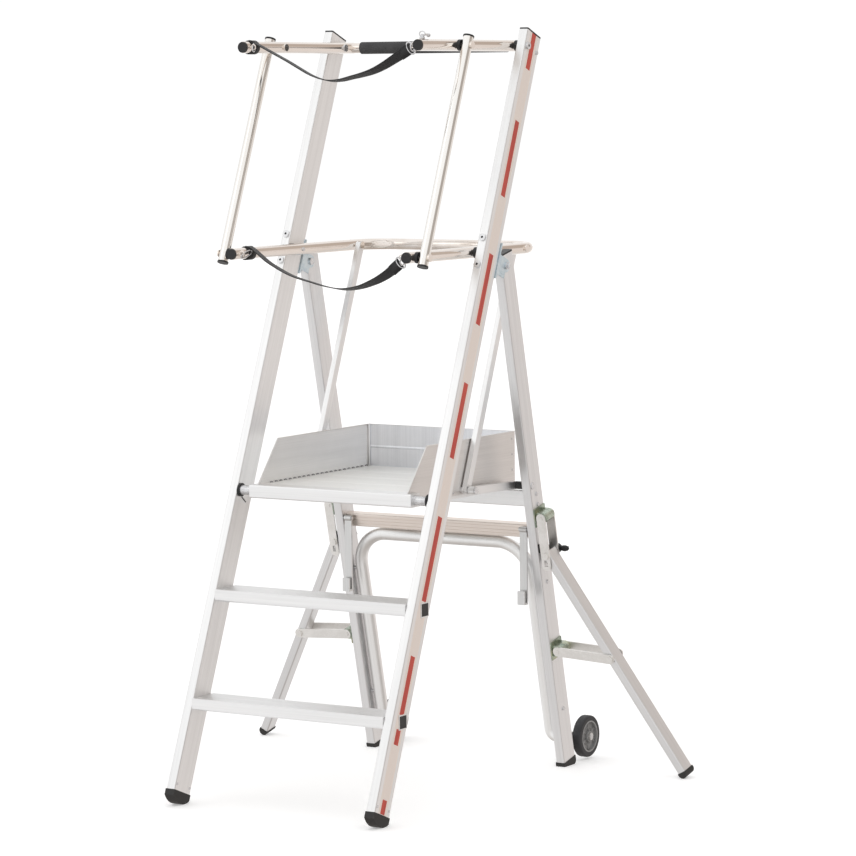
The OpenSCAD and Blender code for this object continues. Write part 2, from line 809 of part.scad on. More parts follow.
module strap(shares) {
    points = [for (p = shares) [p[0] * eye_x, 0, -p[1] * strap_sag]];
    sides = len(strap_section);
    last = len(points) - 1;
    body = [for (i = [0 : last]) each strap_ring(points, i)];
    walls = [for (i = [0 : last - 1], j = [0 : sides - 1])
        let (a = i * sides + j, b = i * sides + (j + 1) % sides)
        each [[a, b, b + sides], [a, b + sides, a + sides]]];
    first_end = [for (j = [1 : sides - 2]) [0, j + 1, j]];
    base = last * sides;
    last_end = [for (j = [1 : sides - 2]) [base, base + j, base + j + 1]];
    polyhedron(points = body, faces = concat(walls, first_end, last_end));
}

module lower_strap() {
    color("black") on_mid_rail() translate([0, eye_back - mid_rail_reach, -eye_r]) strap(lower_strap_shares);
}

module upper_strap() {
    color("black") on_top_rail() translate([0, eye_back - top_rail_reach, -eye_r]) strap(upper_strap_shares);
}

// Top rail: two arms and a sleeved grip bar behind the stiles

module on_top_rail() {
    placed() translate([0, top_y, top_z]) children();
}

module top_rail_path(inset, over) {
    both() translate([rail_x, 0, 0])
        bar_y(-top_rail_reach - over, grip_back + rail_r + over, rail_d - 2 * inset);
    translate([0, grip_back, 0]) bar_x(-rail_x, rail_x, grip_d - 2 * inset);
}

module top_rail() {
    color("tan") on_top_rail() difference() {
        top_rail_path(0, 0);
        top_rail_path(rail_wall, overrun);
        arm_bores([-post_reach, 0]);
        both() translate([0, eye_back - top_rail_reach, 0]) eye_bore();
    }
}

module grip_sleeve() {
    color("black") on_top_rail() translate([0, grip_back, 0])
        ring_x(rail_r + sleeve_gap - rail_x, rail_x - rail_r - sleeve_gap, sleeve_d, grip_d + 2 * fit);
}

module top_rail_caps() {
    color("black") on_top_rail() both() {
        translate([rail_x, -top_rail_reach, 0]) rail_end();
        translate([rail_x, grip_back + rail_r, 0]) mirror([0, 1, 0]) rail_end();
        translate([0, -post_reach, 0]) post_bush();
    }
}

module top_rail_fittings() {
    color("silver") on_top_rail() both() {
        translate([0, -post_reach, 0]) post_pivot();
        translate([0, eye_back - top_rail_reach, 0]) strap_eye();
    }
}

// Posts, parallel to the stiles
post_l = top_s - mid_s;

module on_post() {
    placed() translate([post_x, top_y - post_reach, top_z]) in_stile() children();
}

module posts() {
    color("tan") both() on_post() difference() {
        translate([0, 0, -post_l - post_over]) cylinder(d = post_d, h = post_l + 2 * post_over);
        translate([0, 0, -post_l - post_over - overrun])
            cylinder(d = post_d - 2 * rail_wall, h = post_l + 2 * post_over + 2 * overrun);
        for (s = [0, -post_l])
            translate([0, 0, s]) bar_x(-post_d, post_d, bolt_d + 2 * fit);
    }
}

module post_caps() {
    color("black") both() on_post() for (end = [0, 1])
        translate([0, 0, end == 0 ? post_over : -post_l - post_over]) mirror([0, 0, end]) {
            cylinder(d = post_d + cap_lip, h = cap_t);
            translate([0, 0, -2 * cap_t]) cylinder(d = post_d - 2 * rail_wall - 2 * fit, h = 2 * cap_t);
        }
}

// Rear frame

sole_t = 10;
leg_foot_t = leg_t(sole_t, leg_front);

// Plug inside a leg, from a station upwards
module leg_plug(t0) {
    in_leg() translate([leg_x1 - leg_w / 2, leg_mid, t0]) linear_extrude(plug_l) box_plug(leg_w, leg_d);
}

module rear_legs() {
    color("gainsboro") placed() both() difference() {
        in_leg() translate([leg_x1 - leg_w / 2, leg_mid, leg_foot_t]) linear_extrude(leg_over - leg_foot_t)
            box_section(leg_w, leg_d, box_r);
        in_leg() {
            bar_x(leg_x0 - overrun, leg_x1 + overrun, bolt_d + 2 * fit);
            translate([0, 0, strut_pivot_t]) bar_x(leg_x0 - overrun, leg_x1 + overrun, bolt_d + 2 * fit);
        }
    }
}

module leg_caps() {
    color("black") placed() both() {
        in_leg() translate([leg_x1 - leg_w / 2, leg_mid, leg_over]) linear_extrude(cap_t)
            rounded(leg_w, leg_d, box_r);
        leg_plug(leg_over - plug_l);
    }
}

// Wedge sole under each leg's end, flat on the floor, with a round heel and a plug that holds it
heel_r = sole_t;
heel_m = leg_rear + foot_side - heel_r;
heel_t = leg_t(heel_r, heel_m);

module rear_foot_outline() {
    translate([heel_m, heel_t]) circle(heel_r);
    translate([leg_front - foot_side, heel_t]) square([leg_d + 2 * foot_side, leg_foot_t - heel_t]);
    translate([leg_front - foot_side, leg_foot_t - foot_r]) square([leg_d + 2 * foot_side - heel_r, foot_r]);
}

module rear_feet() {
    color("black") placed() both() {
        intersection() {
            in_leg() across(leg_x0 - foot_side, leg_x1 + foot_side) rear_foot_outline();
            cube([front_w, 2 * shift_y, foot_r]);
        }
        leg_plug(leg_foot_t);
    }
}

rest_beam_y = leg_y(leg_mid, leg_t(rest_beam_h - rest_beam_t / 2, leg_mid));

module rest_beam() {
    color("whitesmoke") placed() translate([0, rest_beam_y, rest_beam_h - rest_beam_t / 2])
        across(-leg_x0, leg_x0) box_section(rest_beam_d, rest_beam_t, box_r);
}

crossbar_rib_n = 3;
crossbar_h = rest_beam_h - rest_beam_t - crossbar_drop - crossbar_t / 2;
crossbar_t0 = leg_t(crossbar_h, leg_mid);

module crossbar() {
    color("bisque") placed() in_leg() translate([0, leg_mid, crossbar_t0]) across(-leg_x0, leg_x0)
    difference() {
        box_section(crossbar_d, crossbar_t, box_r);
        for (i = [1 : crossbar_rib_n])
            translate([-crossbar_d / 2 - overrun, -crossbar_t / 2 + i * crossbar_t / (crossbar_rib_n + 1)])
                square([rib_t + overrun, rib_t]);
    }
}

// Brace tube: an arch under the crossbar whose feet bend out to the legs
brace_h = crossbar_h - crossbar_t / 2 - brace_drop - brace_d / 2;
brace_top_t = leg_t(brace_h, leg_mid);
brace_foot_t = leg_t(brace_foot_h, leg_mid);
brace_foot_bend = leg_x0 - brace_x - overrun;

module brace_path(d, over) {
    translate([0, 0, brace_top_t]) bar_x(brace_bend - brace_x, brace_x - brace_bend, d);
    both() {
        translate([brace_x - brace_bend, 0, brace_top_t - brace_bend]) rotate([90, 0, 0])
            rotate_extrude(angle = 90) translate([brace_bend, 0]) circle(d = d);
        translate([brace_x, 0, brace_foot_t + brace_foot_bend])
            cylinder(d = d, h = brace_top_t - brace_bend - brace_foot_t - brace_foot_bend);
        translate([brace_x + brace_foot_bend, 0, brace_foot_t + brace_foot_bend]) rotate([90, 0, 0])
            rotate([0, 0, 180]) rotate_extrude(angle = 90) translate([brace_foot_bend, 0]) circle(d = d);
        translate([0, 0, brace_foot_t]) bar_x(brace_x + brace_foot_bend, leg_x0 + over, d);
    }
}

module brace_tube() {
    color("silver") placed() in_leg() translate([0, leg_mid, 0]) difference() {
        brace_path(brace_d, 0);
        brace_path(brace_d - 2 * rail_wall, overrun);
    }
}

// Place of the pins that the retaining hooks hang from
hook_pin_d = 6;
hook_x1 = leg_x0 - side_gap;
hook_m = leg_mid - crossbar_d / 2 - brace_d / 3;
hook_pin_t = crossbar_t0 + crossbar_t / 4;

// Bolts on the outer faces of the legs, with spacers that hold the brace tube off them
brace_bolt_shares = [0.15, 0.81];
beam_bolt_shares = [0.2, 0.85];

module frame_bolts() {
    color("silver") placed() both() in_leg() {
        for (share = brace_bolt_shares)
            translate([0, leg_mid, brace_foot_t + share * (brace_top_t - brace_foot_t)]) {
                bar_x(leg_x1, leg_x1 + rivet_t, rivet_d);
                bar_x(leg_x0 - brace_gap, leg_x0, rivet_d);
            }
        for (share = beam_bolt_shares)
            translate([0, leg_mid, leg_t(rest_beam_h - share * rest_beam_t, leg_mid)])
                bar_x(leg_x1, leg_x1 + rivet_t, rivet_d);
        translate([0, 0, strut_pivot_t]) {
            bar_x(leg_x0 - bush_t, leg_x1, bolt_d);
            bar_x(leg_x1, leg_x1 + rivet_t, head_d);
        }
        translate([0, hook_m, hook_pin_t]) {
            bar_x(hook_x1 - hook_w - rivet_t, leg_x0, hook_pin_d);
            bar_x(hook_x1 - hook_w - rivet_t, hook_x1 - hook_w - play, rivet_d);
        }
    }
}

// Black bush that the strut turns on, and the pad that the outrigger arm rests against
pad_t = 3;
pad_l = 30;

module leg_bushes() {
    color("black") placed() both() in_leg() {
        translate([0, 0, strut_pivot_t])
            ring_x(strut_x1 + play, leg_x0, strut_t, bolt_d + 2 * fit);
        translate([leg_x1, leg_mid - pad_l / 2, bolt_t - pad_l / 2]) cube([pad_t - play, pad_l, pad_l]);
    }
}

// Domed blocks on the legs' outer faces that carry the outriggers
block_l = 46;
block_r = 14;
plate_gap = 1;
block_slot = leg_d / 2 - out_plate_n + play;

module pivot_block(t) {
    translate([0, 0, t]) difference() {
        translate([0, leg_front + plate_gap, 0]) rotate([-90, 0, 0]) linear_extrude(leg_d - 2 * plate_gap) {
            translate([swing_x, 0]) circle(block_r);
            translate([leg_x1, -block_r]) square([pivot_out, 2 * block_r]);
        }
        for (m0 = [leg_front, leg_rear - block_slot])
            translate([leg_x1, m0, -block_l]) cube([2 * pivot_out, block_slot, 2 * block_l]);
        translate([swing_x, 0, 0]) bar_y(leg_front, leg_rear, bolt_d + 2 * fit);
    }
    translate([leg_x1, leg_front + plate_gap, t - block_l / 2])
        cube([plate_t, leg_d - 2 * plate_gap, block_l]);
}

module pivot_blocks() {
    color("darkkhaki") placed() both() in_leg() for (t = [arm_t, stay_t]) pivot_block(t);
}

// Plate on the inner face of each leg that carries an axle behind it
wheel_t = leg_t(wheel_z, wheel_m);
hub_gap = 4;
wheel_x0 = leg_x0 + hub_gap;
wheel_x1 = wheel_x0 + wheel_w;
bracket_r = 20;
bracket_h = 46;
bracket_m = leg_mid + brace_d / 2 + play;
bracket_t = leg_foot_t + side_gap;

module wheel_brackets() {
    color("silver") placed() both() in_leg() {
        across(leg_x0 - plate_t, leg_x0) {
            polygon([[bracket_m, bracket_t], [bracket_m, bracket_t + bracket_h],
                [wheel_m, wheel_t + bracket_r], [wheel_m, wheel_t - bracket_r]]);
            translate([wheel_m, wheel_t]) circle(bracket_r);
        }
        translate([0, wheel_m, wheel_t]) {
            bar_x(leg_x0, wheel_x1 + head_t, axle_d);
            bar_x(leg_x0, wheel_x0 - play, axle_d + 2 * hub_gap);
            bar_x(wheel_x1 + play, wheel_x1 + head_t, axle_d + hub_gap);
        }
    }
}

// Wheels: a ring tyre on a spoked-in hub
tyre_t = 13;
tyre_round = 5;

module wheel_at() {
    placed() translate([wheel_x0, wheel_y, wheel_z]) rotate([0, 90, 0]) children();
}

module tyre() {
    r1 = wheel_d / 2;
    r0 = r1 - tyre_t;
    color("dimgray") wheel_at() rotate_extrude() {
        translate([r0, 0]) square([tyre_t - tyre_round, wheel_w]);
        translate([r0, tyre_round]) square([tyre_t, wheel_w - 2 * tyre_round]);
        for (x = [tyre_round, wheel_w - tyre_round])
            translate([r1 - tyre_round, x]) circle(tyre_round);
    }
}

module left_tyre() {
    mirror([1, 0, 0]) tyre();
}

module right_tyre() {
    tyre();
}

hub_web = 10;
hub_rim = 4;

module hub() {
    r0 = wheel_d / 2 - tyre_t;
    color("gray") wheel_at() difference() {
        union() {
            translate([0, 0, (wheel_w - hub_web) / 2]) cylinder(r = r0, h = hub_web);
            cylinder(r = axle_d, h = wheel_w);
            difference() {
                cylinder(r = r0, h = wheel_w);
                translate([0, 0, -overrun]) cylinder(r = r0 - hub_rim, h = wheel_w + 2 * overrun);
            }
        }
        translate([0, 0, -overrun]) cylinder(d = axle_d + 2 * fit, h = wheel_w + 2 * overrun);
    }
}

module left_hub() {
    mirror([1, 0, 0]) hub();
}

module right_hub() {
    hub();
}

// Retaining hooks hang plumb from pins on the inner faces of the legs
hook_w = 20;
hook_t = 5;
hook_eye_d = 14;
hook_claw = 15;
hook_tip = 34;
hook_x0 = hook_x1 - hook_w;
hook_y = leg_y(hook_m, hook_pin_t);
hook_z = hinge_z + hook_m * sin(rear_lean) + hook_pin_t * cos(rear_lean);

module hook() {
    color("silver") placed() translate([0, hook_y, hook_z]) across(hook_x0, hook_x1) difference() {
        union() {
            circle(d = hook_eye_d);
            translate([-hook_t / 2, -hook_l]) square([hook_t, hook_l]);
            translate([-hook_claw, -hook_l]) square([hook_claw, hook_t]);
            translate([-hook_claw, -hook_l]) square([hook_t, hook_tip]);
        }
        circle(d = hook_pin_d + 2 * fit);
    }
}

module left_hook() {
    mirror([1, 0, 0]) hook();
}

module right_hook() {
    hook();
}

// Outriggers

// Frame of an outrigger pivot: x outwards, y back through the leg's depth, z up the leg
module on_swing(u, t) {
    placed() in_leg() translate([swing_x + u, leg_mid, t]) children();
}

// Pair of flat bars on the front and back of the outrigger leg, in the plane of the swing
module flat_pair(l, w, tilt) {
    for (side = [0, 1]) mirror([0, side, 0])
        translate([0, out_plate_n + flat_t, 0]) rotate([90, 0, 0]) rotate([0, 0, tilt]) linear_extrude(flat_t)
            slotted(l, w);
}

// Hole through a pair of flat bars
module pair_bore(u, t, d) {
    translate([u, 0, t]) bar_y(-leg_d, leg_d, d);
}

arm_over = 26;
slot_w = 9;

module outrigger_arm() {
    color("silver") on_swing(0, arm_t) {
        difference() {
            flat_pair(arm_l + arm_over, flat_w, -90);
            pair_bore(0, -arm_l, bolt_d + 2 * fit);
            translate([-slot_w / 2, -leg_d, -arm_l - arm_over])
                cube([slot_w, leg_d, arm_over - bolt_d]);
        }
        bar_y(-leg_d / 2 + plate_gap, leg_d / 2 - plate_gap, bolt_d);
        translate([0, 0, -arm_l]) {
            bar_y(-out_plate_n - flat_t - head_t, knob_y1, bolt_d);
            bar_y(-out_plate_n - flat_t - head_t, -out_plate_n - flat_t, head_d);
        }
    }
}

module left_outrigger_arm() {
    mirror([1, 0, 0]) outrigger_arm();
}

module right_outrigger_arm() {
    outrigger_arm();
}

// The outrigger leg leans out; its foot stands on the floor
out_foot_z = out_foot_r * cos(rear_lean) + (out_leg_d / 2 + foot_side) * sin(rear_lean);
out_bolt_z = hinge_z + leg_mid * sin(rear_lean) + bolt_t * cos(rear_lean);
out_leg_l = (out_bolt_z - out_foot_z) / (cos(out_lean) * cos(rear_lean));
out_cap_l = 4;

module on_out_leg() {
    on_swing(0, bolt_t) rotate([0, -out_lean, 0]) children();
}

module outrigger_leg() {
    color("gainsboro") on_out_leg() difference() {
        translate([0, 0, out_cap_l - out_leg_l]) linear_extrude(out_leg_l + out_leg_over - out_cap_l)
            box_section(out_leg_w, out_leg_d, box_r);
        bar_y(-leg_d, leg_d, bolt_d + 2 * fit);
    }
}

module left_outrigger_leg() {
    mirror([1, 0, 0]) outrigger_leg();
}

module right_outrigger_leg() {
    outrigger_leg();
}

// Round sole under the outrigger leg's end, with a plug that holds it
module outrigger_foot() {
    color("black") on_out_leg() translate([0, 0, -out_leg_l]) {
        difference() {
            bar_y(-out_leg_d / 2 - foot_side, out_leg_d / 2 + foot_side, 2 * out_foot_r);
            translate([-out_leg_w, -out_leg_d, 0]) cube([2 * out_leg_w, 2 * out_leg_d, out_leg_d]);
        }
        linear_extrude(out_cap_l) square([2 * out_foot_r, out_leg_d + 2 * foot_side], center = true);
        translate([0, 0, out_cap_l]) linear_extrude(plug_l) box_plug(out_leg_w, out_leg_d);
    }
}

module left_outrigger_foot() {
    mirror([1, 0, 0]) outrigger_foot();
}

module right_outrigger_foot() {
    outrigger_foot();
}

module stay() {
    color("silver") on_swing(0, stay_t) {
        difference() {
            flat_pair(stay_l, flat_w, stay_tilt);
            pair_bore(stay_bolt_u, stay_bolt_t - stay_t, bolt_d + 2 * fit);
        }
        bar_y(-leg_d / 2 + plate_gap, leg_d / 2 - plate_gap, bolt_d);
        translate([stay_bolt_u, 0, stay_bolt_t - stay_t]) for (side = [0, 1]) mirror([0, side, 0]) {
            bar_y(out_plate_n, out_plate_n + flat_t, bolt_d);
            bar_y(out_plate_n + flat_t, out_plate_n + flat_t + head_t, head_d);
        }
    }
}

module left_stay() {
    mirror([1, 0, 0]) stay();
}

module right_stay() {
    stay();
}

// Wing knob on the back of the outrigger's clamp bolt
knob_d = 22;
knob_l = 16;
wing_t = 6;
knob_y0 = out_plate_n + flat_t + side_gap;
knob_y1 = knob_y0 + knob_l / 2;

module knob() {
    color("black") on_swing(0, bolt_t) translate([0, knob_y0, 0]) difference() {
        union() {
            bar_y(0, knob_l, knob_d);
            translate([-knob_span / 2, knob_l / 4, -wing_t / 2]) cube([knob_span, knob_l, wing_t]);
        }
        bar_y(-overrun, knob_l / 2 + overrun, bolt_d + 2 * fit);
    }
}

module left_knob() {
    mirror([1, 0, 0]) knob();
}

module right_knob() {
    knob();
}

left_stile();
right_stile();
stile_foils();
lower_step();
upper_step();
step_plugs();
stile_caps();
front_feet();
stile_fasteners();
deck_tube();
pivot_bushes();
rail_bolts();
hinge_brackets();
hinge_pins();
deck_nose();
deck_planks();
side_beams();
left_toe_board();
right_toe_board();
back_toe_board();
link_pins();
link_bars();
side_struts();
mid_rail();
mid_rail_caps();
mid_rail_fittings();
lower_strap();
top_rail();
grip_sleeve();
top_rail_caps();
top_rail_fittings();
upper_strap();
posts();
post_caps();
rear_legs();
leg_caps();
rear_feet();
rest_beam();
crossbar();
brace_tube();
frame_bolts();
leg_bushes();
pivot_blocks();
wheel_brackets();
left_hook();
right_hook();
left_tyre();
right_tyre();
left_hub();
right_hub();
left_outrigger_arm();
right_outrigger_arm();
left_outrigger_leg();
right_outrigger_leg();
left_outrigger_foot();
right_outrigger_foot();
left_stay();
right_stay();
left_knob();
right_knob();
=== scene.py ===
"""Podium step: finishes, webbing straps and small trim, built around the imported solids."""
import math

import bmesh
import bpy
from mathutils import Matrix, Vector


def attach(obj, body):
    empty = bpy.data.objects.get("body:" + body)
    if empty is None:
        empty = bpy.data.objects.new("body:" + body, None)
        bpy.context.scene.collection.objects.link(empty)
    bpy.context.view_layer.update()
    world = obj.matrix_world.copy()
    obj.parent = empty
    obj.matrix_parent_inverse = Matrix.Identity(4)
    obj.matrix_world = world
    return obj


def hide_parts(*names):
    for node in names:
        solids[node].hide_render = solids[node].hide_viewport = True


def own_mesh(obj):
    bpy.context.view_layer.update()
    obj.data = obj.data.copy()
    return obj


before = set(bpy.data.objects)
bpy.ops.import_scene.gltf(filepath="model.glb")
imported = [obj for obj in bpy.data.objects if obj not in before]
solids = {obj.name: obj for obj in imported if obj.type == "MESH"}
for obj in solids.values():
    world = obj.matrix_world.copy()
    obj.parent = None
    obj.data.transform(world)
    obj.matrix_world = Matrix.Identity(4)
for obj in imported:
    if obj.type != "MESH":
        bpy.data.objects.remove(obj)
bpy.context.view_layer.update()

# Directions and places of the part, in metres

STILE_LEAN = math.radians(22)
LEG_LEAN = math.radians(13.2)
OUTRIGGER_LEAN = math.radians(29.394)
Y_SHIFT = 0.5492399
UP_STILE = Vector((0, math.sin(STILE_LEAN), math.cos(STILE_LEAN)))
THROUGH_STILE = Vector((0, math.cos(STILE_LEAN), -math.sin(STILE_LEAN)))
UP_LEG = Vector((0, -math.sin(LEG_LEAN), math.cos(LEG_LEAN)))
THROUGH_LEG = Vector((0, math.cos(LEG_LEAN), math.sin(LEG_LEAN)))
ACROSS = Vector((1, 0, 0))
BACKWARDS = Vector((0, 1, 0))
FLOOR_START = Vector((0, -Y_SHIFT, 0))
UPWARDS = Vector((0, 0, 1))
REAR_HINGE = Vector((0, 0.078011, 1.269536))
DECK_PIVOT = Vector((0, -0.239201, 0.730))
WHEEL_CENTRE = Vector((0.285, 0.485196, 0.059))
SIDES = {"left": -1, "right": 1}
PLANK_START = DECK_PIVOT.y + 0.021
PLANK_DEPTH = 0.118125
RIB_PITCH = 0.0138265
DECK_TOP = 0.746


def up_outrigger(side):
    """Direction up an outrigger leg; side is 1 at the right and -1 at the left."""
    inwards = Vector((-side * math.sin(OUTRIGGER_LEAN), 0, 0))
    return (inwards + UP_LEG * math.cos(OUTRIGGER_LEAN)).normalized()


def on_stile(x, through, up):
    """Point at a height up the stile and a depth through it from its front face."""
    return FLOOR_START + ACROSS * x + THROUGH_STILE * through + UP_STILE * up


def on_leg(x, through, height):
    """Point on a rear leg at a height above the floor and a depth behind the hinge line."""
    start = REAR_HINGE + THROUGH_LEG * through
    return start + ACROSS * x + UP_LEG * ((height - start.z) / UP_LEG.z)


# Camera, at the photograph's place

def place_camera():
    data = bpy.data.cameras.new("camera")
    data.sensor_width = 36
    data.lens = 152.98
    data.clip_end = 200
    camera = bpy.data.objects.new("camera", data)
    turn = Matrix.Rotation(math.radians(31.414), 4, "Z")
    tilt = Matrix.Rotation(math.radians(90 - 5.406), 4, "X")
    roll = Matrix.Rotation(-0.0076, 4, "Z")
    camera.matrix_world = Matrix.Translation((4.6924, -7.48774, 1.7068)) @ turn @ tilt @ roll
    bpy.context.scene.collection.objects.link(camera)
    bpy.context.scene.camera = camera


place_camera()

# Node trees written as sums

class Wire:
    """An output socket in a node tree; sums with it add their own nodes."""

    def __init__(self, tree, socket):
        self.tree = tree
        self.socket = socket

    def node(self, kind, settings, inputs, output=0):
        return add_node(self.tree, kind, settings, inputs, output)

    def is_vector(self):
        return self.socket.type == "VECTOR"

    def sum(self, operation, first, second):
        if self.is_vector():
            wide = [(v, v, v) if isinstance(v, (int, float)) else v for v in (first, second)]
            return self.node("ShaderNodeVectorMath", {"operation": operation}, {0: wide[0], 1: wide[1]})
        return self.node("ShaderNodeMath", {"operation": operation}, {0: first, 1: second})

    def __add__(self, other):
        return self.sum("ADD", self, other)

    def __radd__(self, other):
        return self.sum("ADD", other, self)

    def __sub__(self, other):
        return self.sum("SUBTRACT", self, other)

    def __rsub__(self, other):
        return self.sum("SUBTRACT", other, self)

    def __mul__(self, other):
        if self.is_vector() and isinstance(other, Wire) and not other.is_vector():
            return self.node("ShaderNodeVectorMath", {"operation": "SCALE"}, {0: self, "Scale": other})
        return self.sum("MULTIPLY", self, other)

    def __rmul__(self, other):
        return self.sum("MULTIPLY", other, self)

    def __truediv__(self, other):
        return self.sum("DIVIDE", self, other)

    def __abs__(self):
        return self.node("ShaderNodeMath", {"operation": "ABSOLUTE"}, {0: self})

    def __gt__(self, other):
        return self.sum("GREATER_THAN", self, other)

    def __lt__(self, other):
        return self.sum("LESS_THAN", self, other)

    def dot(self, direction):
        """How far along a direction a place lies."""
        inputs = {0: self, 1: direction}
        return self.node("ShaderNodeVectorMath", {"operation": "DOT_PRODUCT"}, inputs, "Value")

    def wrap(self, length):
        """What is left over after whole lengths are taken out."""
        return self.sum("MODULO", self, length)

    def wave(self):
        return self.node("ShaderNodeMath", {"operation": "SINE"}, {0: self})

    def ease(self, low, high):
        """0 below low, 1 above high, smooth between."""
        settings = {"interpolation_type": "SMOOTHSTEP", "clamp": True}
        return self.node("ShaderNodeMapRange", settings, {"Value": self, "From Min": low, "From Max": high})

    def noise(self, scale, detail=2.0, roughness=0.5):
        inputs = {"Vector": self, "Scale": scale, "Detail": detail, "Roughness": roughness}
        return self.node("ShaderNodeTexNoise", {"noise_dimensions": "3D"}, inputs)

    def mix(self, low, high):
        """A colour between two, by this value."""
        inputs = {0: self, 6: low, 7: high}
        return self.node("ShaderNodeMix", {"data_type": "RGBA", "clamp_factor": True}, inputs, 2)

    def without(self, direction, share):
        """This place with most of its run along a direction taken out: grain stretches that way."""
        run = self.node("ShaderNodeVectorMath", {"operation": "SCALE"},
                        {0: tuple(direction), "Scale": self.dot(tuple(direction)) * share})
        return self - run


def add_node(tree, kind, settings, inputs, output=0):
    node = tree.nodes.new(kind)
    for name, value in settings.items():
        setattr(node, name, value)
    for name, value in inputs.items():
        if isinstance(value, Wire):
            tree.links.new(value.socket, node.inputs[name])
        else:
            node.inputs[name].default_value = value
    return Wire(tree, node.outputs[output])


def rgb(red, green, blue):
    return (red, green, blue, 1.0)


class Finish:
    """A material with one shader; numbers are set on its sockets and wires are linked to them."""

    def __init__(self, name):
        self.material = bpy.data.materials.new(name)
        self.material.use_nodes = True
        self.tree = self.material.node_tree
        self.shader = self.tree.nodes["Principled BSDF"]

    def place(self):
        return add_node(self.tree, "ShaderNodeTexCoord", {}, {}, "Object")

    def strip(self):
        """Place on a strap: along it and across it, in metres."""
        return add_node(self.tree, "ShaderNodeUVMap", {"uv_map": "strip"}, {})

    def parts(self, vector):
        made = add_node(self.tree, "ShaderNodeSeparateXYZ", {}, {0: vector})
        return [Wire(self.tree, s) for s in made.socket.node.outputs]

    def set(self, **sockets):
        for name, value in sockets.items():
            socket = self.shader.inputs[name.replace("_", " ")]
            if isinstance(value, Wire):
                self.tree.links.new(value.socket, socket)
            else:
                socket.default_value = value
        return self

    def bump(self, height, depth, strength=1.0):
        inputs = {"Height": height, "Distance": depth, "Strength": strength}
        return self.set(Normal=add_node(self.tree, "ShaderNodeBump", {}, inputs))


# Finishes

def drawn_aluminium(name, direction, dark, light, rough):
    """Mill-finish section: die lines along its length and a soft cloudiness."""
    finish = Finish(name)
    place = finish.place()
    run = place.without(direction, 0.985)
    lines = run.noise(420, 3)
    broad_lines = run.noise(90, 2)
    cloud = place.without(direction, 0.8).noise(9, 3)
    tone = lines * 0.35 + broad_lines * 0.3 + cloud * 0.35
    finish.set(Base_Color=tone.ease(0.3, 0.7).mix(rgb(*dark), rgb(*light)), Metallic=1.0,
               Roughness=lines * 0.12 + cloud * 0.14 + (rough - 0.13))
    return finish.bump(lines + broad_lines * 0.5, 0.0002, 0.35).material


def brushed_sheet(name, direction, dark, light, rough):
    """Rolled sheet: fine brushing along the board, faint roll bands and handling marks."""
    finish = Finish(name)
    place = finish.place()
    run = place.without(direction, 0.992)
    brush = run.noise(700, 2)
    bands = run.noise(46, 2)
    marks = place.noise(16, 4, 0.62)
    tone = brush * 0.45 + bands * 0.35 + marks * 0.2
    finish.set(Base_Color=tone.ease(0.3, 0.7).mix(rgb(*dark), rgb(*light)), Metallic=1.0,
               Roughness=brush * 0.1 + marks.ease(0.45, 0.75) * 0.05 + (rough - 0.06))
    return finish.bump(brush, 0.0001, 0.25).material


def polished_tube(name, direction, dark, light, rough):
    """Bright nickel tube: almost a mirror, with faint draw marks along it and wiped haze."""
    finish = Finish(name)
    place = finish.place()
    marks = place.without(direction, 0.98).noise(240, 2)
    haze = place.without(direction, 0.9).noise(30, 3)
    finish.set(Base_Color=haze.ease(0.3, 0.7).mix(rgb(*dark), rgb(*light)), Metallic=1.0,
               Roughness=haze * 0.05 + marks * 0.04 + rough)
    return finish.bump(marks, 0.00004, 0.1).material


def ribbed_deck(name, dark, light, rough):
    """Deck planks: drawn ribs across the deck, duller in the grooves between them, with painted shade
    darkening the grooves.
    """
    finish = Finish(name)
    place = finish.place()
    back = finish.parts(place)[1] - PLANK_START
    dull_shaded_groove = (back.wrap(PLANK_DEPTH).wrap(RIB_PITCH) / RIB_PITCH).ease(0.46, 0.56)
    lines = place.without(ACROSS, 0.985).noise(420, 3)
    cloud = place.without(ACROSS, 0.6).noise(9, 3)
    # Painted shade: the base colour is darkened in the grooves between the ribs.
    tone = (lines * 0.5 + cloud * 0.5).ease(0.3, 0.7) * 0.6 + 0.4 - dull_shaded_groove * 0.5
    finish.set(Base_Color=tone.mix(rgb(*dark), rgb(*light)), Metallic=0.75,
               Roughness=lines * 0.12 + dull_shaded_groove * 0.1 + (rough - 0.06))
    return finish.bump(lines, 0.0002, 0.3).material


def plated_metal(name, dark, light, rough, scale, stain=None):
    """Zinc-plated steel: small crystals under the plating, cloudy colour, stains where it pooled."""
    finish = Finish(name)
    place = finish.place()
    cloud = place.noise(scale, 4, 0.6)
    inputs = {"Vector": place, "Scale": scale * 9}
    crystals = add_node(finish.tree, "ShaderNodeTexVoronoi", {}, inputs, "Distance")
    colour = (cloud * 0.85 + crystals * 0.15).ease(0.3, 0.7).mix(rgb(*dark), rgb(*light))
    if stain:
        pooled = place.noise(scale * 0.55, 3, 0.7).ease(0.5, 0.72)
        colour = pooled.mix(colour, rgb(*stain))
    finish.set(Base_Color=colour, Metallic=1.0, Roughness=cloud * 0.16 + crystals * 0.06 + (rough - 0.1))
    return finish.bump(crystals + cloud, 0.0001, 0.15).material


def moulded_plastic(name, dark, light, rough):
    """Black moulding: fine spark grain, paler scuffs on it."""
    finish = Finish(name)
    place = finish.place()
    grain = place.noise(1500, 2)
    scuffs = place.noise(75, 5, 0.68).ease(0.54, 0.76)
    finish.set(Base_Color=(scuffs * 0.7 + grain * 0.3).mix(rgb(*dark), rgb(*light)),
               Roughness=grain * 0.16 + scuffs * 0.16 + (rough - 0.1), Specular_IOR_Level=0.45)
    return finish.bump(grain + scuffs * 0.4, 0.0002, 0.45).material


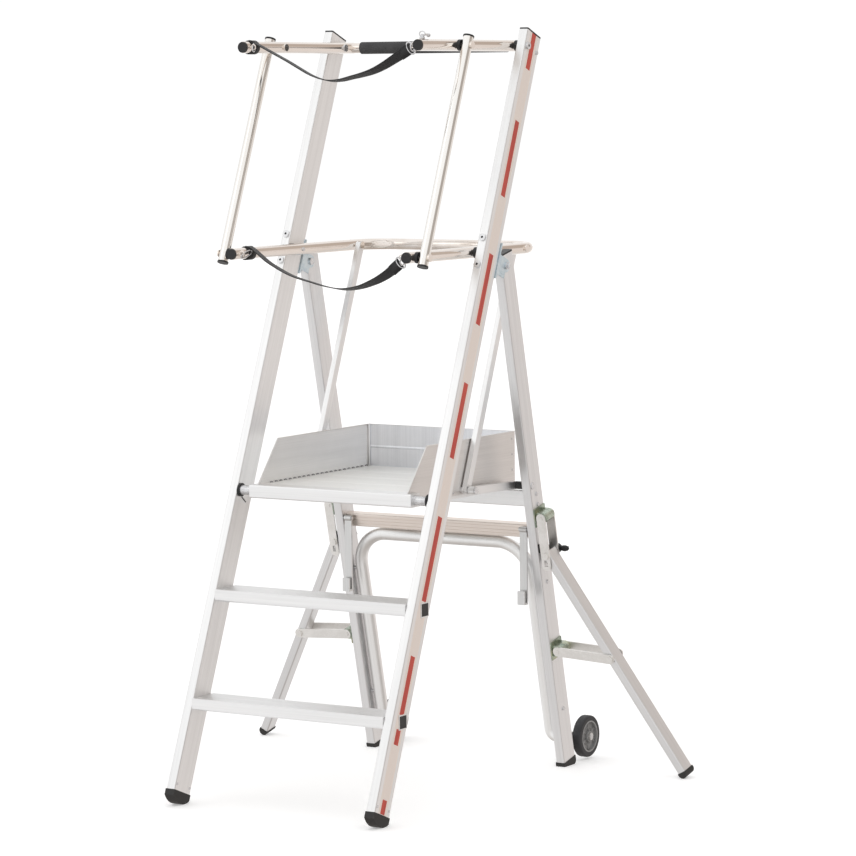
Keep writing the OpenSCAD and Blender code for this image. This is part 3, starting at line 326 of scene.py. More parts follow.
STRIPE_MIDDLE = 0.034
STRIPE_WIDTH = 0.0196
STRIPE_RUNS = [(0.048, 0.082), (0.212, 0.249), (0.283, 0.424), (0.556, 0.762), (0.906, 1.092), (1.238, 1.416),
               (1.563, 1.756), (1.890, 1.990)]


def stripe_foil(name):
    """Pale foil with a red stripe along its middle; bare gaps are left along the stripe."""
    finish = Finish(name)
    place = finish.place() - tuple(FLOOR_START)
    up = place.dot(tuple(UP_STILE))
    through = place.dot(tuple(THROUGH_STILE))
    inside = abs(through - STRIPE_MIDDLE) < STRIPE_WIDTH / 2
    shown = 0
    for low, high in STRIPE_RUNS:
        shown = (up > low) * (up < high) + shown
    red = inside * shown
    grain = place.noise(260, 3)
    worn = place.without(tuple(UP_STILE), 0.9).noise(60, 4, 0.65)
    pale = grain.mix(rgb(0.98, 0.85, 0.785), rgb(1.0, 0.93, 0.86))
    print_red = worn.ease(0.3, 0.75).mix(rgb(0.575, 0.040, 0.021), rgb(0.725, 0.078, 0.042))
    finish.set(Base_Color=red.mix(pale, print_red), Roughness=grain * 0.12 + worn * 0.1 + 0.24,
               Specular_IOR_Level=0.5)
    return finish.bump(grain, 0.0001, 0.2).material


def woven_webbing(name):
    """Black webbing: ribs across it, a twill between them, a bound edge and seams near the ends."""
    finish = Finish(name)
    along, across, _ = finish.parts(finish.strip())
    ribs = (along * 2400).wave() * 0.5 + 0.5
    warp = (across * 4200 + along * 1200).wave() * 0.5 + 0.5
    edge = abs(across).ease(0.0095, 0.0115)
    weave = ribs * 0.55 + warp * 0.45
    sewn = (along < 0.034) * (abs(abs(across) - 0.0075) < 0.0007) * ((along * 1500).wave() > -0.3)
    fuzz = finish.place().noise(500, 3)
    tone = weave * 0.6 + fuzz * 0.4 - edge * 0.15 + sewn * 0.5
    finish.set(Base_Color=tone.ease(0.15, 0.9).mix(rgb(0.012, 0.012, 0.013), rgb(0.045, 0.045, 0.048)),
               Roughness=fuzz * 0.2 + 0.55, Sheen_Weight=0.25, Sheen_Roughness=0.4, Specular_IOR_Level=0.35)
    return finish.bump(weave + sewn * 2, 0.0005, 0.8).material


def ribbed_foam(name, dark, light):
    """Foam sleeve: closed pores and shallow rings round the bar."""
    finish = Finish(name)
    place = finish.place()
    pores = place.noise(1300, 2)
    rings = (finish.parts(place)[0] * 900).wave() * 0.5 + 0.5
    worn = place.noise(30, 4, 0.6)
    finish.set(Base_Color=(pores * 0.4 + worn * 0.6).ease(0.3, 0.7).mix(rgb(*dark), rgb(*light)),
               Roughness=pores * 0.2 + worn * 0.15 + 0.5, Specular_IOR_Level=0.35)
    return finish.bump(pores + rings * 0.6, 0.0003, 0.5).material


def tyre_rubber(name, dark, light):
    """Grey wheel moulding: fine grain, mould rings round the axle and dust."""
    finish = Finish(name)
    place = finish.place()
    grain = place.noise(900, 2) + (finish.parts(place)[0] * 1600).wave() * 0.2
    dust = place.noise(38, 5, 0.65).ease(0.45, 0.75)
    finish.set(Base_Color=(dust * 0.7 + grain * 0.3).mix(rgb(*dark), rgb(*light)),
               Roughness=dust * 0.14 + grain * 0.1 + 0.5, Specular_IOR_Level=0.4)
    return finish.bump(grain, 0.0003, 0.4).material


STILE_TONES = ((0.81, 0.81, 0.81), (0.94, 0.94, 0.94), 0.38)
TREAD_TONES = ((0.86, 0.86, 0.86), (0.95, 0.95, 0.95), 0.42)
SHEET_TONES = ((0.87, 0.86, 0.845), (0.96, 0.95, 0.935), 0.42)
# Painted shade: the right toe board is the same sheet as the left, given darker, warmer tones.
SHADED_RIGHT_SHEET_TONES = ((0.73, 0.705, 0.685), (0.83, 0.805, 0.785), 0.42)
OUTRIGGER_TONES = ((0.74, 0.74, 0.745), (0.87, 0.87, 0.875), 0.36)
LEG_TONES = ((0.75, 0.75, 0.755), (0.88, 0.88, 0.885), 0.38)
BRACE_TONES = ((0.91, 0.91, 0.905), (0.98, 0.98, 0.975), 0.42)
# Painted shade: the back toe board is the same sheet as the side boards, given darker, bluer tones.
SHADED_BACK_SHEET_TONES = ((0.75, 0.765, 0.80), (0.88, 0.895, 0.93), 0.36)

STRUT_RUN = Vector((0, 1, -0.03)).normalized()

LOOKS = {
    "stile_section": (drawn_aluminium, UP_STILE, *STILE_TONES),
    "leg_section": (drawn_aluminium, UP_LEG, *LEG_TONES),
    "brace_section": (drawn_aluminium, UP_LEG, *BRACE_TONES),
    "beam_section": (drawn_aluminium, BACKWARDS, *TREAD_TONES),
    "strut_section": (drawn_aluminium, STRUT_RUN, *STILE_TONES),
    "left_outrigger_section": (drawn_aluminium, up_outrigger(-1), *OUTRIGGER_TONES),
    "right_outrigger_section": (drawn_aluminium, up_outrigger(1), *OUTRIGGER_TONES),
    "tread_section": (drawn_aluminium, ACROSS, *TREAD_TONES),
    "side_sheet": (brushed_sheet, BACKWARDS, *SHEET_TONES),
    # right toe board: darker, warmer copy of the sheet, as painted shade
    "right_sheet": (brushed_sheet, BACKWARDS, *SHADED_RIGHT_SHEET_TONES),
    # back toe board: darker, bluer copy of the sheet, as painted shade
    "back_sheet": (brushed_sheet, UPWARDS, *SHADED_BACK_SHEET_TONES),
    "stripe_foil": (stripe_foil,),
    "black_moulding": (moulded_plastic, (0.010, 0.010, 0.011), (0.035, 0.035, 0.037), 0.42),
    "black_rubber": (moulded_plastic, (0.020, 0.019, 0.019), (0.060, 0.058, 0.055), 0.60),
    "grip_foam": (ribbed_foam, (0.042, 0.042, 0.044), (0.076, 0.076, 0.079)),
    "bright_steel": (plated_metal, (0.60, 0.60, 0.61), (0.80, 0.80, 0.81), 0.26, 60),
    "blue_zinc": (plated_metal, (0.55, 0.66, 0.72), (0.74, 0.82, 0.86), 0.30, 45, (0.60, 0.70, 0.78)),
    "yellow_zinc": (plated_metal, (0.20, 0.25, 0.20), (0.54, 0.60, 0.51), 0.24, 42, (0.50, 0.50, 0.36)),
    "hook_section": (drawn_aluminium, UPWARDS, (0.62, 0.62, 0.615), (0.76, 0.76, 0.755), 0.36),
    "plated_steel": (plated_metal, (0.80, 0.785, 0.76), (0.91, 0.895, 0.875), 0.38, 26),
    "rail_tube": (polished_tube, BACKWARDS, (0.82, 0.75, 0.69), (0.91, 0.85, 0.80), 0.05),
    "post_tube": (polished_tube, UP_STILE, (0.90, 0.87, 0.83), (0.97, 0.95, 0.92), 0.05),
    "deck_ribs": (ribbed_deck, (0.90, 0.90, 0.885), (1.0, 1.0, 0.985), 0.42),
    "beige_section": (drawn_aluminium, ACROSS, (0.81, 0.73, 0.67), (0.93, 0.85, 0.79), 0.40),
    "webbing": (woven_webbing,),
    "plain_webbing": (moulded_plastic, (0.012, 0.012, 0.013), (0.040, 0.040, 0.043), 0.62),
    "tyre": (tyre_rubber, (0.035, 0.035, 0.038), (0.075, 0.075, 0.080)),
    "hub_rim": (tyre_rubber, (0.42, 0.42, 0.42), (0.55, 0.55, 0.55)),
    "hub": (tyre_rubber, (0.26, 0.26, 0.26), (0.37, 0.37, 0.37)),
}
FINISHES = {name: make(name, *look) for name, (make, *look) in LOOKS.items()}

WORN_BY = {
    "stile_section": ["left_stile", "right_stile", "link_bars"],
    "leg_section": ["rear_legs"],
    "brace_section": ["brace_tube"],
    "strut_section": ["side_struts"],
    "beam_section": ["side_beams"],
    "left_outrigger_section": ["left_outrigger_leg"],
    "right_outrigger_section": ["right_outrigger_leg"],
    "tread_section": ["lower_step", "upper_step", "deck_nose", "rest_beam"],
    "deck_ribs": ["deck_planks"],
    "side_sheet": ["left_toe_board"],
    "right_sheet": ["right_toe_board"],
    "back_sheet": ["back_toe_board"],
    "stripe_foil": ["stile_foils"],
    "black_moulding": ["step_plugs", "stile_caps", "pivot_bushes", "mid_rail_caps", "top_rail_caps",
                       "post_caps", "leg_caps", "leg_bushes", "left_knob", "right_knob"],
    "black_rubber": ["front_feet", "rear_feet", "left_outrigger_foot", "right_outrigger_foot"],
    "grip_foam": ["grip_sleeve"],
    "bright_steel": ["stile_fasteners", "deck_tube", "rail_bolts", "hinge_pins", "link_pins", "frame_bolts"],
    "hook_section": ["left_hook", "right_hook"],
    "blue_zinc": ["hinge_brackets"],
    "yellow_zinc": ["pivot_blocks"],
    "plated_steel": ["wheel_brackets", "left_outrigger_arm", "right_outrigger_arm", "left_stay",
                     "right_stay"],
    "rail_tube": ["mid_rail", "top_rail", "mid_rail_fittings", "top_rail_fittings"],
    "post_tube": ["posts"],
    "beige_section": ["crossbar"],
    "tyre": ["left_tyre", "right_tyre"],
    "hub": ["left_hub", "right_hub"],
}

for finish_name, wearers in WORN_BY.items():
    for node_name in wearers:
        mesh = solids[node_name].data
        mesh.materials.clear()
        mesh.materials.append(FINISHES[finish_name])

# Pieces of the scene's own

def add_piece(name, mesh, finish, body):
    """An object that rides on a body of the part and wears one of the finishes."""
    piece = bpy.data.objects.new(name, mesh)
    mesh.materials.append(FINISHES[finish])
    bpy.context.scene.collection.objects.link(piece)
    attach(piece, body)
    return piece


def add_shape(name, shape, finish, body):
    """A piece made from a shape, which is used up."""
    bmesh.ops.recalc_face_normals(shape, faces=shape.faces)
    mesh = bpy.data.meshes.new(name)
    shape.to_mesh(mesh)
    shape.free()
    return add_piece(name, mesh, finish, body)


def round_angles(steps):
    return [2 * math.pi * k / steps for k in range(steps)]


def add_ring(shape, centre, side, up, radius, steps):
    """Ring of corners round a centre."""
    return [shape.verts.new(centre + (side * math.cos(a) + up * math.sin(a)) * radius)
            for a in round_angles(steps)]


def join_rings(shape, first, second, smooth):
    """Faces all round between two rings."""
    for k in range(len(first)):
        n = (k + 1) % len(first)
        shape.faces.new((first[k], first[n], second[n], second[k])).smooth = smooth


def close_ends(shape, rings):
    shape.faces.new(rings[0][::-1])
    shape.faces.new(rings[-1])


def add_sweep(shape, points, radius, sides=10, closed=False):
    """Round bar along points."""
    count = len(points)
    rings = []
    side = None
    for i, point in enumerate(points):
        before = points[i - 1] if closed or i else point
        after = points[(i + 1) % count] if closed or i + 1 < count else point
        ahead = (after - before).normalized()
        if side is None:
            side = ahead.orthogonal().normalized()
        side = (side - ahead * side.dot(ahead)).normalized()
        rings.append(add_ring(shape, point, side, ahead.cross(side), radius, sides))
    for first, second in zip(rings, rings[1:]):
        join_rings(shape, first, second, True)
    if closed:
        join_rings(shape, rings[-1], rings[0], True)
    else:
        close_ends(shape, rings)


def add_turned(shape, centre, axis, profile, steps=24):
    """Turned shape: a profile of (distance along the axis, radius) round the axis."""
    axis = Vector(axis).normalized()
    side = axis.orthogonal().normalized()
    up = axis.cross(side)
    rings = [add_ring(shape, centre + axis * along, side, up, radius, steps) for along, radius in profile]
    for first, second in zip(rings, rings[1:]):
        join_rings(shape, first, second, steps > 6)
    close_ends(shape, rings)


def oval(centre, long_way, short_way, reach, width, steps=28):
    """Points round an oval."""
    return [centre + long_way * reach * math.cos(a) + short_way * width * math.sin(a)
            for a in round_angles(steps)]


def dome(radius, height):
    """Profile of a rivet's head."""
    shares = [(0, 1), (0.35, 0.94), (0.7, 0.72), (1, 0.25)]
    return [(along * height, out * radius) for along, out in shares]


# Straps: webbing carried round the left arm of a rail and clipped to the eye of the right arm

RAIL_X = 0.246
STRAP_WIDTH = 0.025
STRAP_THICK = 0.0024
STRAP_TURN = (math.radians(5), math.radians(80))
TURN_POWER = 5
EYE_X = 0.2245
UPPER_EYE = Vector((0, -0.226078, 1.791))
LOWER_EYE = Vector((0, -0.285256, 1.298))
UPPER_WRAP = Vector((-RAIL_X, -0.2030, 1.797))
LOWER_WRAP = Vector((-RAIL_X, -0.2285, 1.304))
UPPER_SWAY = [(-0.246, 1.8125), (-0.2375, 1.8112), (-0.2290, 1.8050), (-0.205, 1.7940), (-0.172, 1.7787),
              (-0.1365, 1.7623), (-0.105, 1.7465), (-0.075, 1.7318), (-0.050, 1.7226), (-0.026, 1.7168),
              (-0.005, 1.7152), (0.020, 1.7170), (0.0485, 1.7227), (0.080, 1.7290), (0.111, 1.7373),
              (0.142, 1.7500), (0.173, 1.7660), (0.198, 1.7790), (0.2155, 1.7885)]
LOWER_SWAY = [(-0.246, 1.3195), (-0.2375, 1.3185), (-0.2271, 1.3135), (-0.205, 1.2990), (-0.1813, 1.2839),
              (-0.150, 1.2690), (-0.1158, 1.2553), (-0.084, 1.2465), (-0.0504, 1.2394), (-0.018, 1.2325),
              (0.0142, 1.2274), (0.0467, 1.2248), (0.076, 1.2270), (0.1045, 1.2324), (0.130, 1.2405),
              (0.1558, 1.2506), (0.182, 1.2640), (0.204, 1.2785), (0.2200, 1.2905)]


def strap_route(wrap, eye, sway):
    """Places along a strap, drawn forwards from the wrap to the eye."""
    return [Vector((x, wrap.y + (eye.y - wrap.y) * (x - wrap.x) / (EYE_X - wrap.x), z)) for x, z in sway]


def smooth_route(route, fine):
    """Points on a smooth curve through the route, fine steps between each two of them."""
    ends = [2 * route[0] - route[1], *route, 2 * route[-1] - route[-2]]
    made = []
    for i in range(1, len(ends) - 2):
        a, b, c, d = ends[i - 1:i + 3]
        for k in range(fine):
            t = k / fine
            made.append(0.5 * (2 * b + (c - a) * t + (2 * a - 5 * b + 4 * c - d) * t * t
                               + (3 * b - a - 3 * c + d) * t ** 3))
    return made + [route[-1]]


def strap_section():
    """Outline of the webbing: flat, with rounded edges."""
    half, thick = STRAP_WIDTH / 2, STRAP_THICK / 2
    steps = [-1, -0.6, -0.2, 0.2, 0.6, 1]
    flat = half - thick
    right = [(flat + thick * math.sin(a), thick * math.cos(a)) for a in (0.8, math.pi / 2, math.pi - 0.8)]
    top = [(flat * s, thick) for s in steps]
    bottom = [(-flat * s, -thick) for s in steps]
    return top + right + bottom + [(-x, -y) for x, y in right]


def make_strap(name, route, body, node):
    points = smooth_route(route, 6)
    section = strap_section()
    shape = bmesh.new()
    strip = shape.loops.layers.uv.new("strip")
    rings, runs, run = [], [], 0.0
    for i, point in enumerate(points):
        ahead = (points[min(i + 1, len(points) - 1)] - points[max(i - 1, 0)]).normalized()
        turned = (i / (len(points) - 1)) ** TURN_POWER
        turn = STRAP_TURN[0] + (STRAP_TURN[1] - STRAP_TURN[0]) * turned
        level = BACKWARDS.cross(ahead).normalized()
        wide = math.cos(turn) * BACKWARDS + math.sin(turn) * level
        thick = ahead.cross(wide)
        run += (point - points[i - 1]).length if i else 0
        runs.append(run)
        rings.append([shape.verts.new(point + wide * x + thick * y) for x, y in section])
    for i in range(len(rings) - 1):
        for j in range(len(section)):
            k = (j + 1) % len(section)
            face = shape.faces.new((rings[i][j], rings[i][k], rings[i + 1][k], rings[i + 1][j]))
            face.smooth = True
            for loop, (r, s) in zip(face.loops, ((i, j), (i, k), (i + 1, k), (i + 1, j))):
                loop[strip].uv = (min(runs[r], run - runs[r]), section[s][0])
    close_ends(shape, rings)
    piece = add_shape(name, shape, "webbing", body)
    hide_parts(node)
    return piece


def fold_to_left_arm(piece):
    """Gives the piece a mesh of its own; the lower strap is unclipped at the right before folding, but
    nothing here gathers it at the left arm.
    """
    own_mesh(piece)


upper_route = strap_route(UPPER_WRAP, UPPER_EYE, UPPER_SWAY)
lower_route = strap_route(LOWER_WRAP, LOWER_EYE, LOWER_SWAY)
make_strap("upper_webbing", upper_route, "upper_rail", "upper_strap")
fold_to_left_arm(make_strap("lower_webbing", lower_route, "middle_rail", "lower_strap"))

# Ends of the straps: a wrap and a steel link at the left, a sewn loop, ring and hook at the right

WRAP_OUTSIDE, WRAP_INSIDE = 0.0168, 0.0142
LINK_WIRE, RING_WIRE, HOOK_WIRE = 0.0017, 0.0020, 0.0018
HOOK_ANGLES = [0.3 + 0.27 * k for k in range(21)]
HOOK_HINGE = [(-0.003, 0.0024), (0.0, 0.0034), (0.005, 0.0034), (0.008, 0.0022)]
LINK_PLACE = Vector((0.0175, -0.0135, 0.004))


def add_band(shape, outer, inner, wide):
    """Closed band of webbing between an outer and an inner line."""
    half = STRAP_WIDTH / 2 + 0.0003
    edges = [[shape.verts.new(p + wide * x) for p in line] for line in (outer, inner) for x in (-half, half)]
    for first, second in ((0, 1), (2, 3), (0, 2), (1, 3)):
        join_rings(shape, edges[first], edges[second], second - first == 1)


def dress_strap_ends(level, route, wrap, eye, body):
    """The four small pieces at a strap's ends; the two at the right are handed back."""
    band, link, loop, clip = (bmesh.new() for _ in range(4))
    outer, inner = (oval(wrap, ACROSS, UPWARDS, r, r, 36) for r in (WRAP_OUTSIDE, WRAP_INSIDE))
    add_band(band, outer, inner, BACKWARDS)
    held = Vector((-EYE_X, eye.y, eye.z))
    sewn = wrap + LINK_PLACE
    along = sewn - held
    across = along.cross(ACROSS).normalized()
    reach = along.length / 2 + 0.005
    add_sweep(link, oval((held + sewn) / 2, along.normalized(), across, reach, 0.006), LINK_WIRE, closed=True)
    end, back = route[-1], (route[-2] - route[-1]).normalized()
    level_way = BACKWARDS.cross(-back).normalized()
    wide = math.cos(STRAP_TURN[1]) * BACKWARDS + math.sin(STRAP_TURN[1]) * level_way
    wide = (wide - back * wide.dot(back)).normalized()
    flat = back.cross(wide).normalized()
    middle = end + back * 0.014
    add_band(loop, oval(middle, back, flat, 0.017, 0.0048, 24), oval(middle, back, flat, 0.0146, 0.0026, 24),
             wide)
    ring = oval(end - back * 0.003, wide, back + flat * 0.3, 0.0150, 0.0075)
    add_sweep(clip, ring, RING_WIRE, closed=True)
    hook = [end - back * 0.009 + UPWARDS * (0.010 * math.sin(a)) + BACKWARDS * (0.009 * math.cos(a))
            for a in HOOK_ANGLES]
    add_sweep(clip, hook, HOOK_WIRE)
    add_turned(clip, hook[0], BACKWARDS, HOOK_HINGE, 14)
    add_shape(f"{level}_strap_wrap", band, "plain_webbing", body)
    add_shape(f"{level}_strap_link", link, "bright_steel", body)
    return [add_shape(f"{level}_strap_loop", loop, "plain_webbing", body),
            add_shape(f"{level}_strap_clip", clip, "bright_steel", body)]


dress_strap_ends("upper", upper_route, UPPER_WRAP, UPPER_EYE, "upper_rail")
for clipped_end in dress_strap_ends("lower", lower_route, LOWER_WRAP, LOWER_EYE, "middle_rail"):
    fold_to_left_arm(clipped_end)

LATCH_FOOT = [(0, 0.0065), (0.004, 0.0065), (0.005, 0.005), (0.009, 0.004), (0.012, 0.002)]
LATCH_THUMB = [(-0.004, 0.0025), (-0.002, 0.0045), (0.002, 0.0045), (0.004, 0.0025)]


def add_latch():
    """Sprung thumb latch that stands on the right arm of the top rail."""
    shape = bmesh.new()
    base = Vector((RAIL_X, UPPER_EYE.y + 0.006, 1.8105))
    add_turned(shape, base, UPWARDS, LATCH_FOOT)
    lever = [base + Vector((0.0, 0.004 * k, 0.006 + 0.0022 * k - 0.00025 * k * k)) for k in range(8)]
    add_sweep(shape, lever, 0.0026)
    add_turned(shape, lever[-1], BACKWARDS, LATCH_THUMB, 16)
    add_sweep(shape, oval(base + UPWARDS * 0.012, ACROSS, UPWARDS, 0.0075, 0.0065), 0.0014, closed=True)
    add_shape("strap_latch", shape, "bright_steel", "upper_rail")


add_latch()

# Toe boards: rolled top edges, rivets, beads in the back corners and dark arches as painted shade in the gap
# at each plank's end

BOARD_MIDDLE, BOARD_OUTSIDE, BACK_BOARD_END = 0.21225, 0.213, 0.2115
BOARD_FRONT = DECK_PIVOT.y - 0.006
BOARD_SLANT = DECK_PIVOT.y + 0.079
BOARD_BACK = DECK_PIVOT.y + 0.4955
BOARD_TOP = 0.852
RIVET_ROW = 0.7265
HEM_RADIUS, HEM_DROP = 0.0015, 0.0012
ROW_RIVET, CORNER_RIVET = dome(0.0034, 0.0014), dome(0.003, 0.0013)


def dress_board_edges():
    hems, rivets = bmesh.new(), bmesh.new()
    hem_height = BOARD_TOP - HEM_DROP
    hem_line = [(BOARD_FRONT, 0.7485), (BOARD_SLANT - 0.003, BOARD_TOP - 0.0055),
                (BOARD_SLANT + 0.003, hem_height), (BOARD_BACK, hem_height)]
    for side in SIDES.values():
        add_sweep(hems, [Vector((side * BOARD_MIDDLE, y, z)) for y, z in hem_line], HEM_RADIUS)
        for k in range(6):
            place = Vector((side * BOARD_OUTSIDE, BOARD_SLANT - 0.05 + 0.086 * k, RIVET_ROW))
            add_turned(rivets, place, ACROSS * side, ROW_RIVET, 16)
        for k in range(3):
            place = Vector((side * BOARD_OUTSIDE, BOARD_BACK - 0.012, 0.757 + 0.038 * k))
            add_turned(rivets, place, ACROSS * side, CORNER_RIVET, 16)
    back_hem = [Vector((x, BOARD_BACK - 0.0006, hem_height)) for x in (-BACK_BOARD_END, BACK_BOARD_END)]
    add_sweep(hems, back_hem, HEM_RADIUS)
    for k in range(5):
        place = Vector((-0.17 + 0.085 * k, BOARD_BACK - 0.0005, RIVET_ROW))
        add_turned(rivets, place, BACKWARDS, ROW_RIVET, 16)
    add_shape("toe_board_hems", hems, "side_sheet", "deck")
    add_shape("toe_board_rivets", rivets, "bright_steel", "deck")


def dress_board_insides():
    corners, gaps = bmesh.new(), bmesh.new()
    for side in SIDES.values():
        foot = Vector((side * 0.2088, BOARD_BACK - 0.0045, DECK_TOP))
        bead = [foot + UPWARDS * rise for rise in (0, 0.05, BOARD_TOP - DECK_TOP - 0.001)]
        add_sweep(corners, bead, 0.0025, 12)
        # Painted shade: small dark arches stand in for the shade in the gap where each plank meets the board.
        for k in range(22):
            start = Vector((side * 0.2102, PLANK_START + 0.022 + 0.0205 * k, DECK_TOP + 0.0012))
            arch = [start, start + BACKWARDS * 0.005 + UPWARDS * 0.0012, start + BACKWARDS * 0.010]
            add_sweep(gaps, arch, 0.0014, 6)
    add_shape("deck_corner_beads", corners, "tread_section", "deck")
    add_shape("plank_end_gap_shades", gaps, "hub", "deck")


dress_board_insides()
dress_board_edges()

# Wheels: spokes, a ring of ribs and bright rims on each hub, a washer on each axle

SPOKE_RUN = (0.0135, 0.025, 0.0362)
RIB_RING, HUB_RIM = 0.0225, 0.0378
AXLE_WASHER = [(0, 0.0075), (0.001, 0.0072), (0.0014, 0.004), (0.0016, 0.001)]


def dress_wheels():
    for name, side in SIDES.items():
        centre = Vector((side * WHEEL_CENTRE.x, WHEEL_CENTRE.y, WHEEL_CENTRE.z))
        spokes, rims, washers = (bmesh.new() for _ in range(3))
        for face in (-1, 1):
            at = centre + ACROSS * face * 0.0052
            for k in range(6):
                out = UPWARDS * math.cos(k * math.pi / 3) + BACKWARDS * math.sin(k * math.pi / 3)
                add_sweep(spokes, [at + out * reach for reach in SPOKE_RUN], 0.003, 12)
            add_sweep(spokes, oval(at, UPWARDS, BACKWARDS, RIB_RING, RIB_RING, 40), 0.0018, 8, closed=True)
            rim = oval(centre + ACROSS * face * 0.0105, UPWARDS, BACKWARDS, HUB_RIM, HUB_RIM, 48)
            add_sweep(rims, rim, 0.0018, 8, closed=True)
        end = Vector((side * 0.3010, WHEEL_CENTRE.y, WHEEL_CENTRE.z))
        add_turned(washers, end, ACROSS * side, AXLE_WASHER)
        add_shape(f"{name}_spokes", spokes, "hub", f"{name}_wheel")
        add_shape(f"{name}_hub_rims", rims, "hub_rim", f"{name}_wheel")
        add_shape(f"{name}_axle_end", washers, "bright_steel", "rear_frame")


dress_wheels()

# Wing knobs: rounded lobes on the wings and a ribbed collar

LOBE = [(0.0125 * math.cos(a), 0.0005 + 0.0072 * math.sin(a)) for a in [math.pi * k / 10 for k in range(11)]]
WING_DEPTH, LOBE_REACH, COLLAR_RADIUS = 0.040, 0.0190, 0.0108


def dress_knobs():
    for name, side in SIDES.items():
        shape = bmesh.new()
        arm_bolt = on_leg(side * 0.310, 0.014, 0.648) - UP_LEG * 0.098
        wings = arm_bolt + THROUGH_LEG * WING_DEPTH
        for way in (-1, 1):
            add_turned(shape, wings + ACROSS * way * LOBE_REACH, ACROSS, LOBE, 20)
            add_sweep(shape, [wings + ACROSS * way * x for x in (0.006, 0.013, 0.020)], 0.0052, 12)
        for k in range(12):
            out = ACROSS * math.cos(k * math.pi / 6) + UP_LEG * math.sin(k * math.pi / 6)
            rib = [arm_bolt + out * COLLAR_RADIUS + THROUGH_LEG * m for m in (0.0290, 0.035, 0.0435)]
            add_sweep(shape, rib, 0.0011, 6)
        add_shape(f"{name}_knob_lobes", shape, "black_moulding", f"{name}_wing_knob")


dress_knobs()

# Clamp pads: black pads on the legs, seen beside the outrigger arms

def dress_legs():
    pads = bmesh.new()
    for side in SIDES.values():
        for through in (-0.0075, -0.0015, 0.0045):
            foot = on_leg(side * 0.2935, through, 0.556)
            add_sweep(pads, [foot, foot + UP_LEG * 0.008, foot + UP_LEG * 0.021], 0.0030, 8)
    add_shape("clamp_pads", pads, "black_rubber", "rear_frame")


dress_legs()

# Bolts: thin black hexagons as painted shade in the sockets of the round heads, and nuts behind the hinge
# brackets

HINGE_UP = 1.41206
BRACKET_BOLTS = (HINGE_UP - 0.034, HINGE_UP + 0.034)
SOCKET_SHADE = [(-0.0002, 0.0032), (0.0002, 0.0032)]
NUT = [(0, 0.0066), (0.0045, 0.0066), (0.0058, 0.0054)]


def dress_bolts():
    sockets, nuts = bmesh.new(), bmesh.new()
    for side in SIDES.values():
        # Painted shade: thin black hexagons stand in for the shade inside the bolt heads' sockets.
        add_turned(sockets, on_stile(side * 0.297, 0.014, 1.9438), ACROSS * side, SOCKET_SHADE, 6)
        for up in BRACKET_BOLTS:
            add_turned(sockets, on_stile(side * 0.281, -0.004, up), -THROUGH_STILE, SOCKET_SHADE, 6)
            add_turned(nuts, on_stile(side * 0.281, 0.075, up), THROUGH_STILE, NUT, 6)
        add_turned(nuts, on_stile(side * 0.3003, 0.106, HINGE_UP), ACROSS * side, NUT, 6)
    add_shape("bolt_socket_shades", sockets, "black_moulding", "ladder")
    add_shape("bracket_nuts", nuts, "bright_steel", "ladder")


dress_bolts()


def add_slot_shade():
    """Black bar as painted shade in the slot in the left stile's inner face, under the deck's pivot."""
    shape = bmesh.new()
    line = [(0.026, 0.778), (0.034, 0.775), (0.046, 0.771)]
    add_sweep(shape, [on_stile(-0.2689, through, up) for through, up in line], 0.0014)
    add_shape("stile_slot_shade", shape, "black_moulding", "ladder")


add_slot_shade()

# Floor, light and surroundings

def add_floor():
    """Pale floor that takes the shadows; the metal mirrors the surroundings and not the floor."""
    shape = bmesh.new()
    bmesh.ops.create_circle(shape, cap_ends=True, segments=96, radius=30)
    mesh = bpy.data.meshes.new("floor")
    shape.to_mesh(mesh)
    shape.free()
    floor = bpy.data.objects.new("floor", mesh)
    bpy.context.scene.collection.objects.link(floor)
    finish = Finish("floor")
    mottle = finish.place().noise(3, 3)
    finish.set(Base_Color=mottle.mix(rgb(0.90, 0.90, 0.90), rgb(0.94, 0.94, 0.94)), Roughness=0.7,
               Emission_Color=rgb(1, 1, 1), Emission_Strength=0.3, Specular_IOR_Level=0.1)
    mesh.materials.append(finish.material)
    floor.visible_glossy = False
    floor.visible_diffuse = False


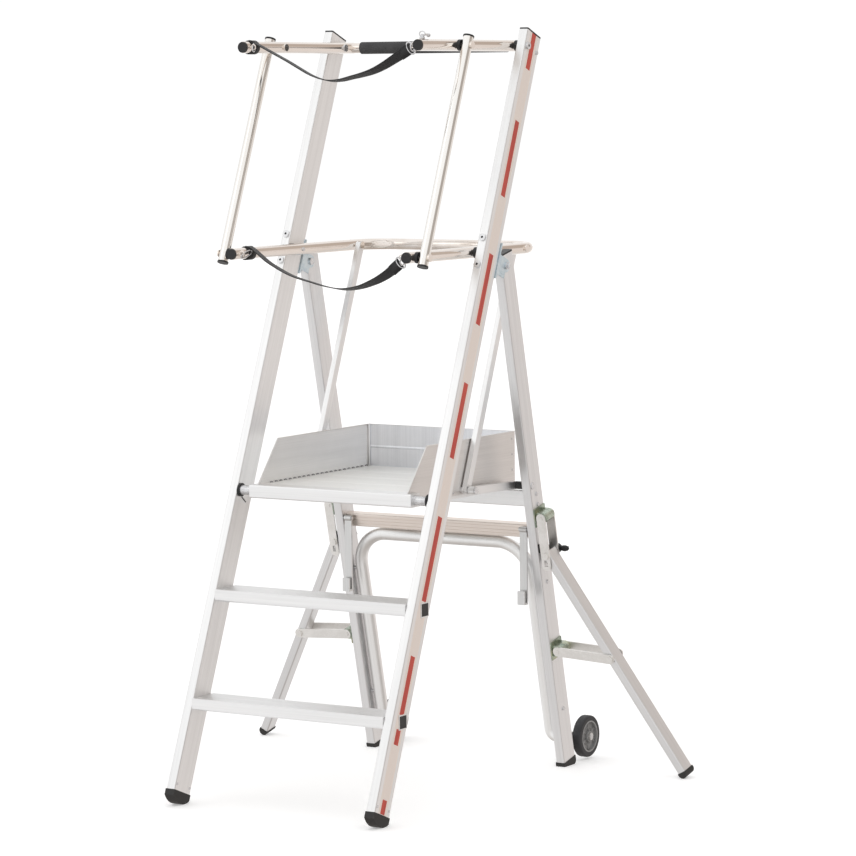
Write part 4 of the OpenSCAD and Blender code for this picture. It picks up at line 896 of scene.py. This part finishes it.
def add_softbox(name, place, aim, size, power, colour):
    data = bpy.data.lights.new(name, "AREA")
    data.shape = "RECTANGLE"
    data.size, data.size_y = size
    data.energy = power
    data.color = colour
    light = bpy.data.objects.new(name, data)
    light.rotation_euler = (Vector(aim) - Vector(place)).to_track_quat("-Z", "Y").to_euler()
    light.location = place
    bpy.context.scene.collection.objects.link(light)


# Each wall: where it stands, the cosines at its edge and its middle, its shade
ROOM = (0.94, 0.93, 0.925)
WALLS = [
    ((0, 0, 1), 0.2, 0.8, (0.98, 0.98, 0.98)),  # ceiling
    ((0, 0, -1), 0.25, 0.95, (0.50, 0.46, 0.43)),  # floor
    ((0.62, 0.78, 0), 0.55, 0.9, (0.83, 0.78, 0.75)),  # warm wall at the right
    ((-0.52, -0.62, 0.58), 0.55, 0.85, (0.985, 0.985, 0.985)),  # bright front left
    ((0.345, 0.85, 0.38), 0.935, 0.975, (0.56, 0.49, 0.44)),  # dark patch above the right wall
    ((1, 0, 0), 0.809, 0.857, (0.44, 0.40, 0.37)),  # dark flag at the right side
    ((-0.895, 0.446, 0), 0.972, 0.99, (0.55, 0.55, 0.55)),  # dark strip at the left
    ((-0.518, 0.85, -0.094), 0.86, 0.965, (1.03, 1.03, 1.03)),  # white backdrop
]


def light_surroundings():
    """Studio walls round the part, each laid over the ones before it."""
    world = bpy.data.worlds.new("studio")
    bpy.context.scene.world = world
    world.use_nodes = True
    tree = world.node_tree
    sight = add_node(tree, "ShaderNodeTexCoord", {}, {}, "Generated")
    colour = rgb(*ROOM)
    for direction, edge, middle, shade in WALLS:
        near = sight.dot(tuple(Vector(direction).normalized())).ease(edge, middle)
        colour = near.mix(colour, rgb(*shade))
    backdrop = tree.nodes["Background"]
    tree.links.new(colour.socket, backdrop.inputs["Color"])
    backdrop.inputs["Strength"].default_value = 1.0


add_floor()
light_surroundings()
add_softbox("key", (-3.0, -4.5, 4.2), (0, 0, 0.9), (2.4, 2.4), 7, (1.0, 0.99, 0.97))
bpy.context.scene.view_settings.view_transform = "Standard"
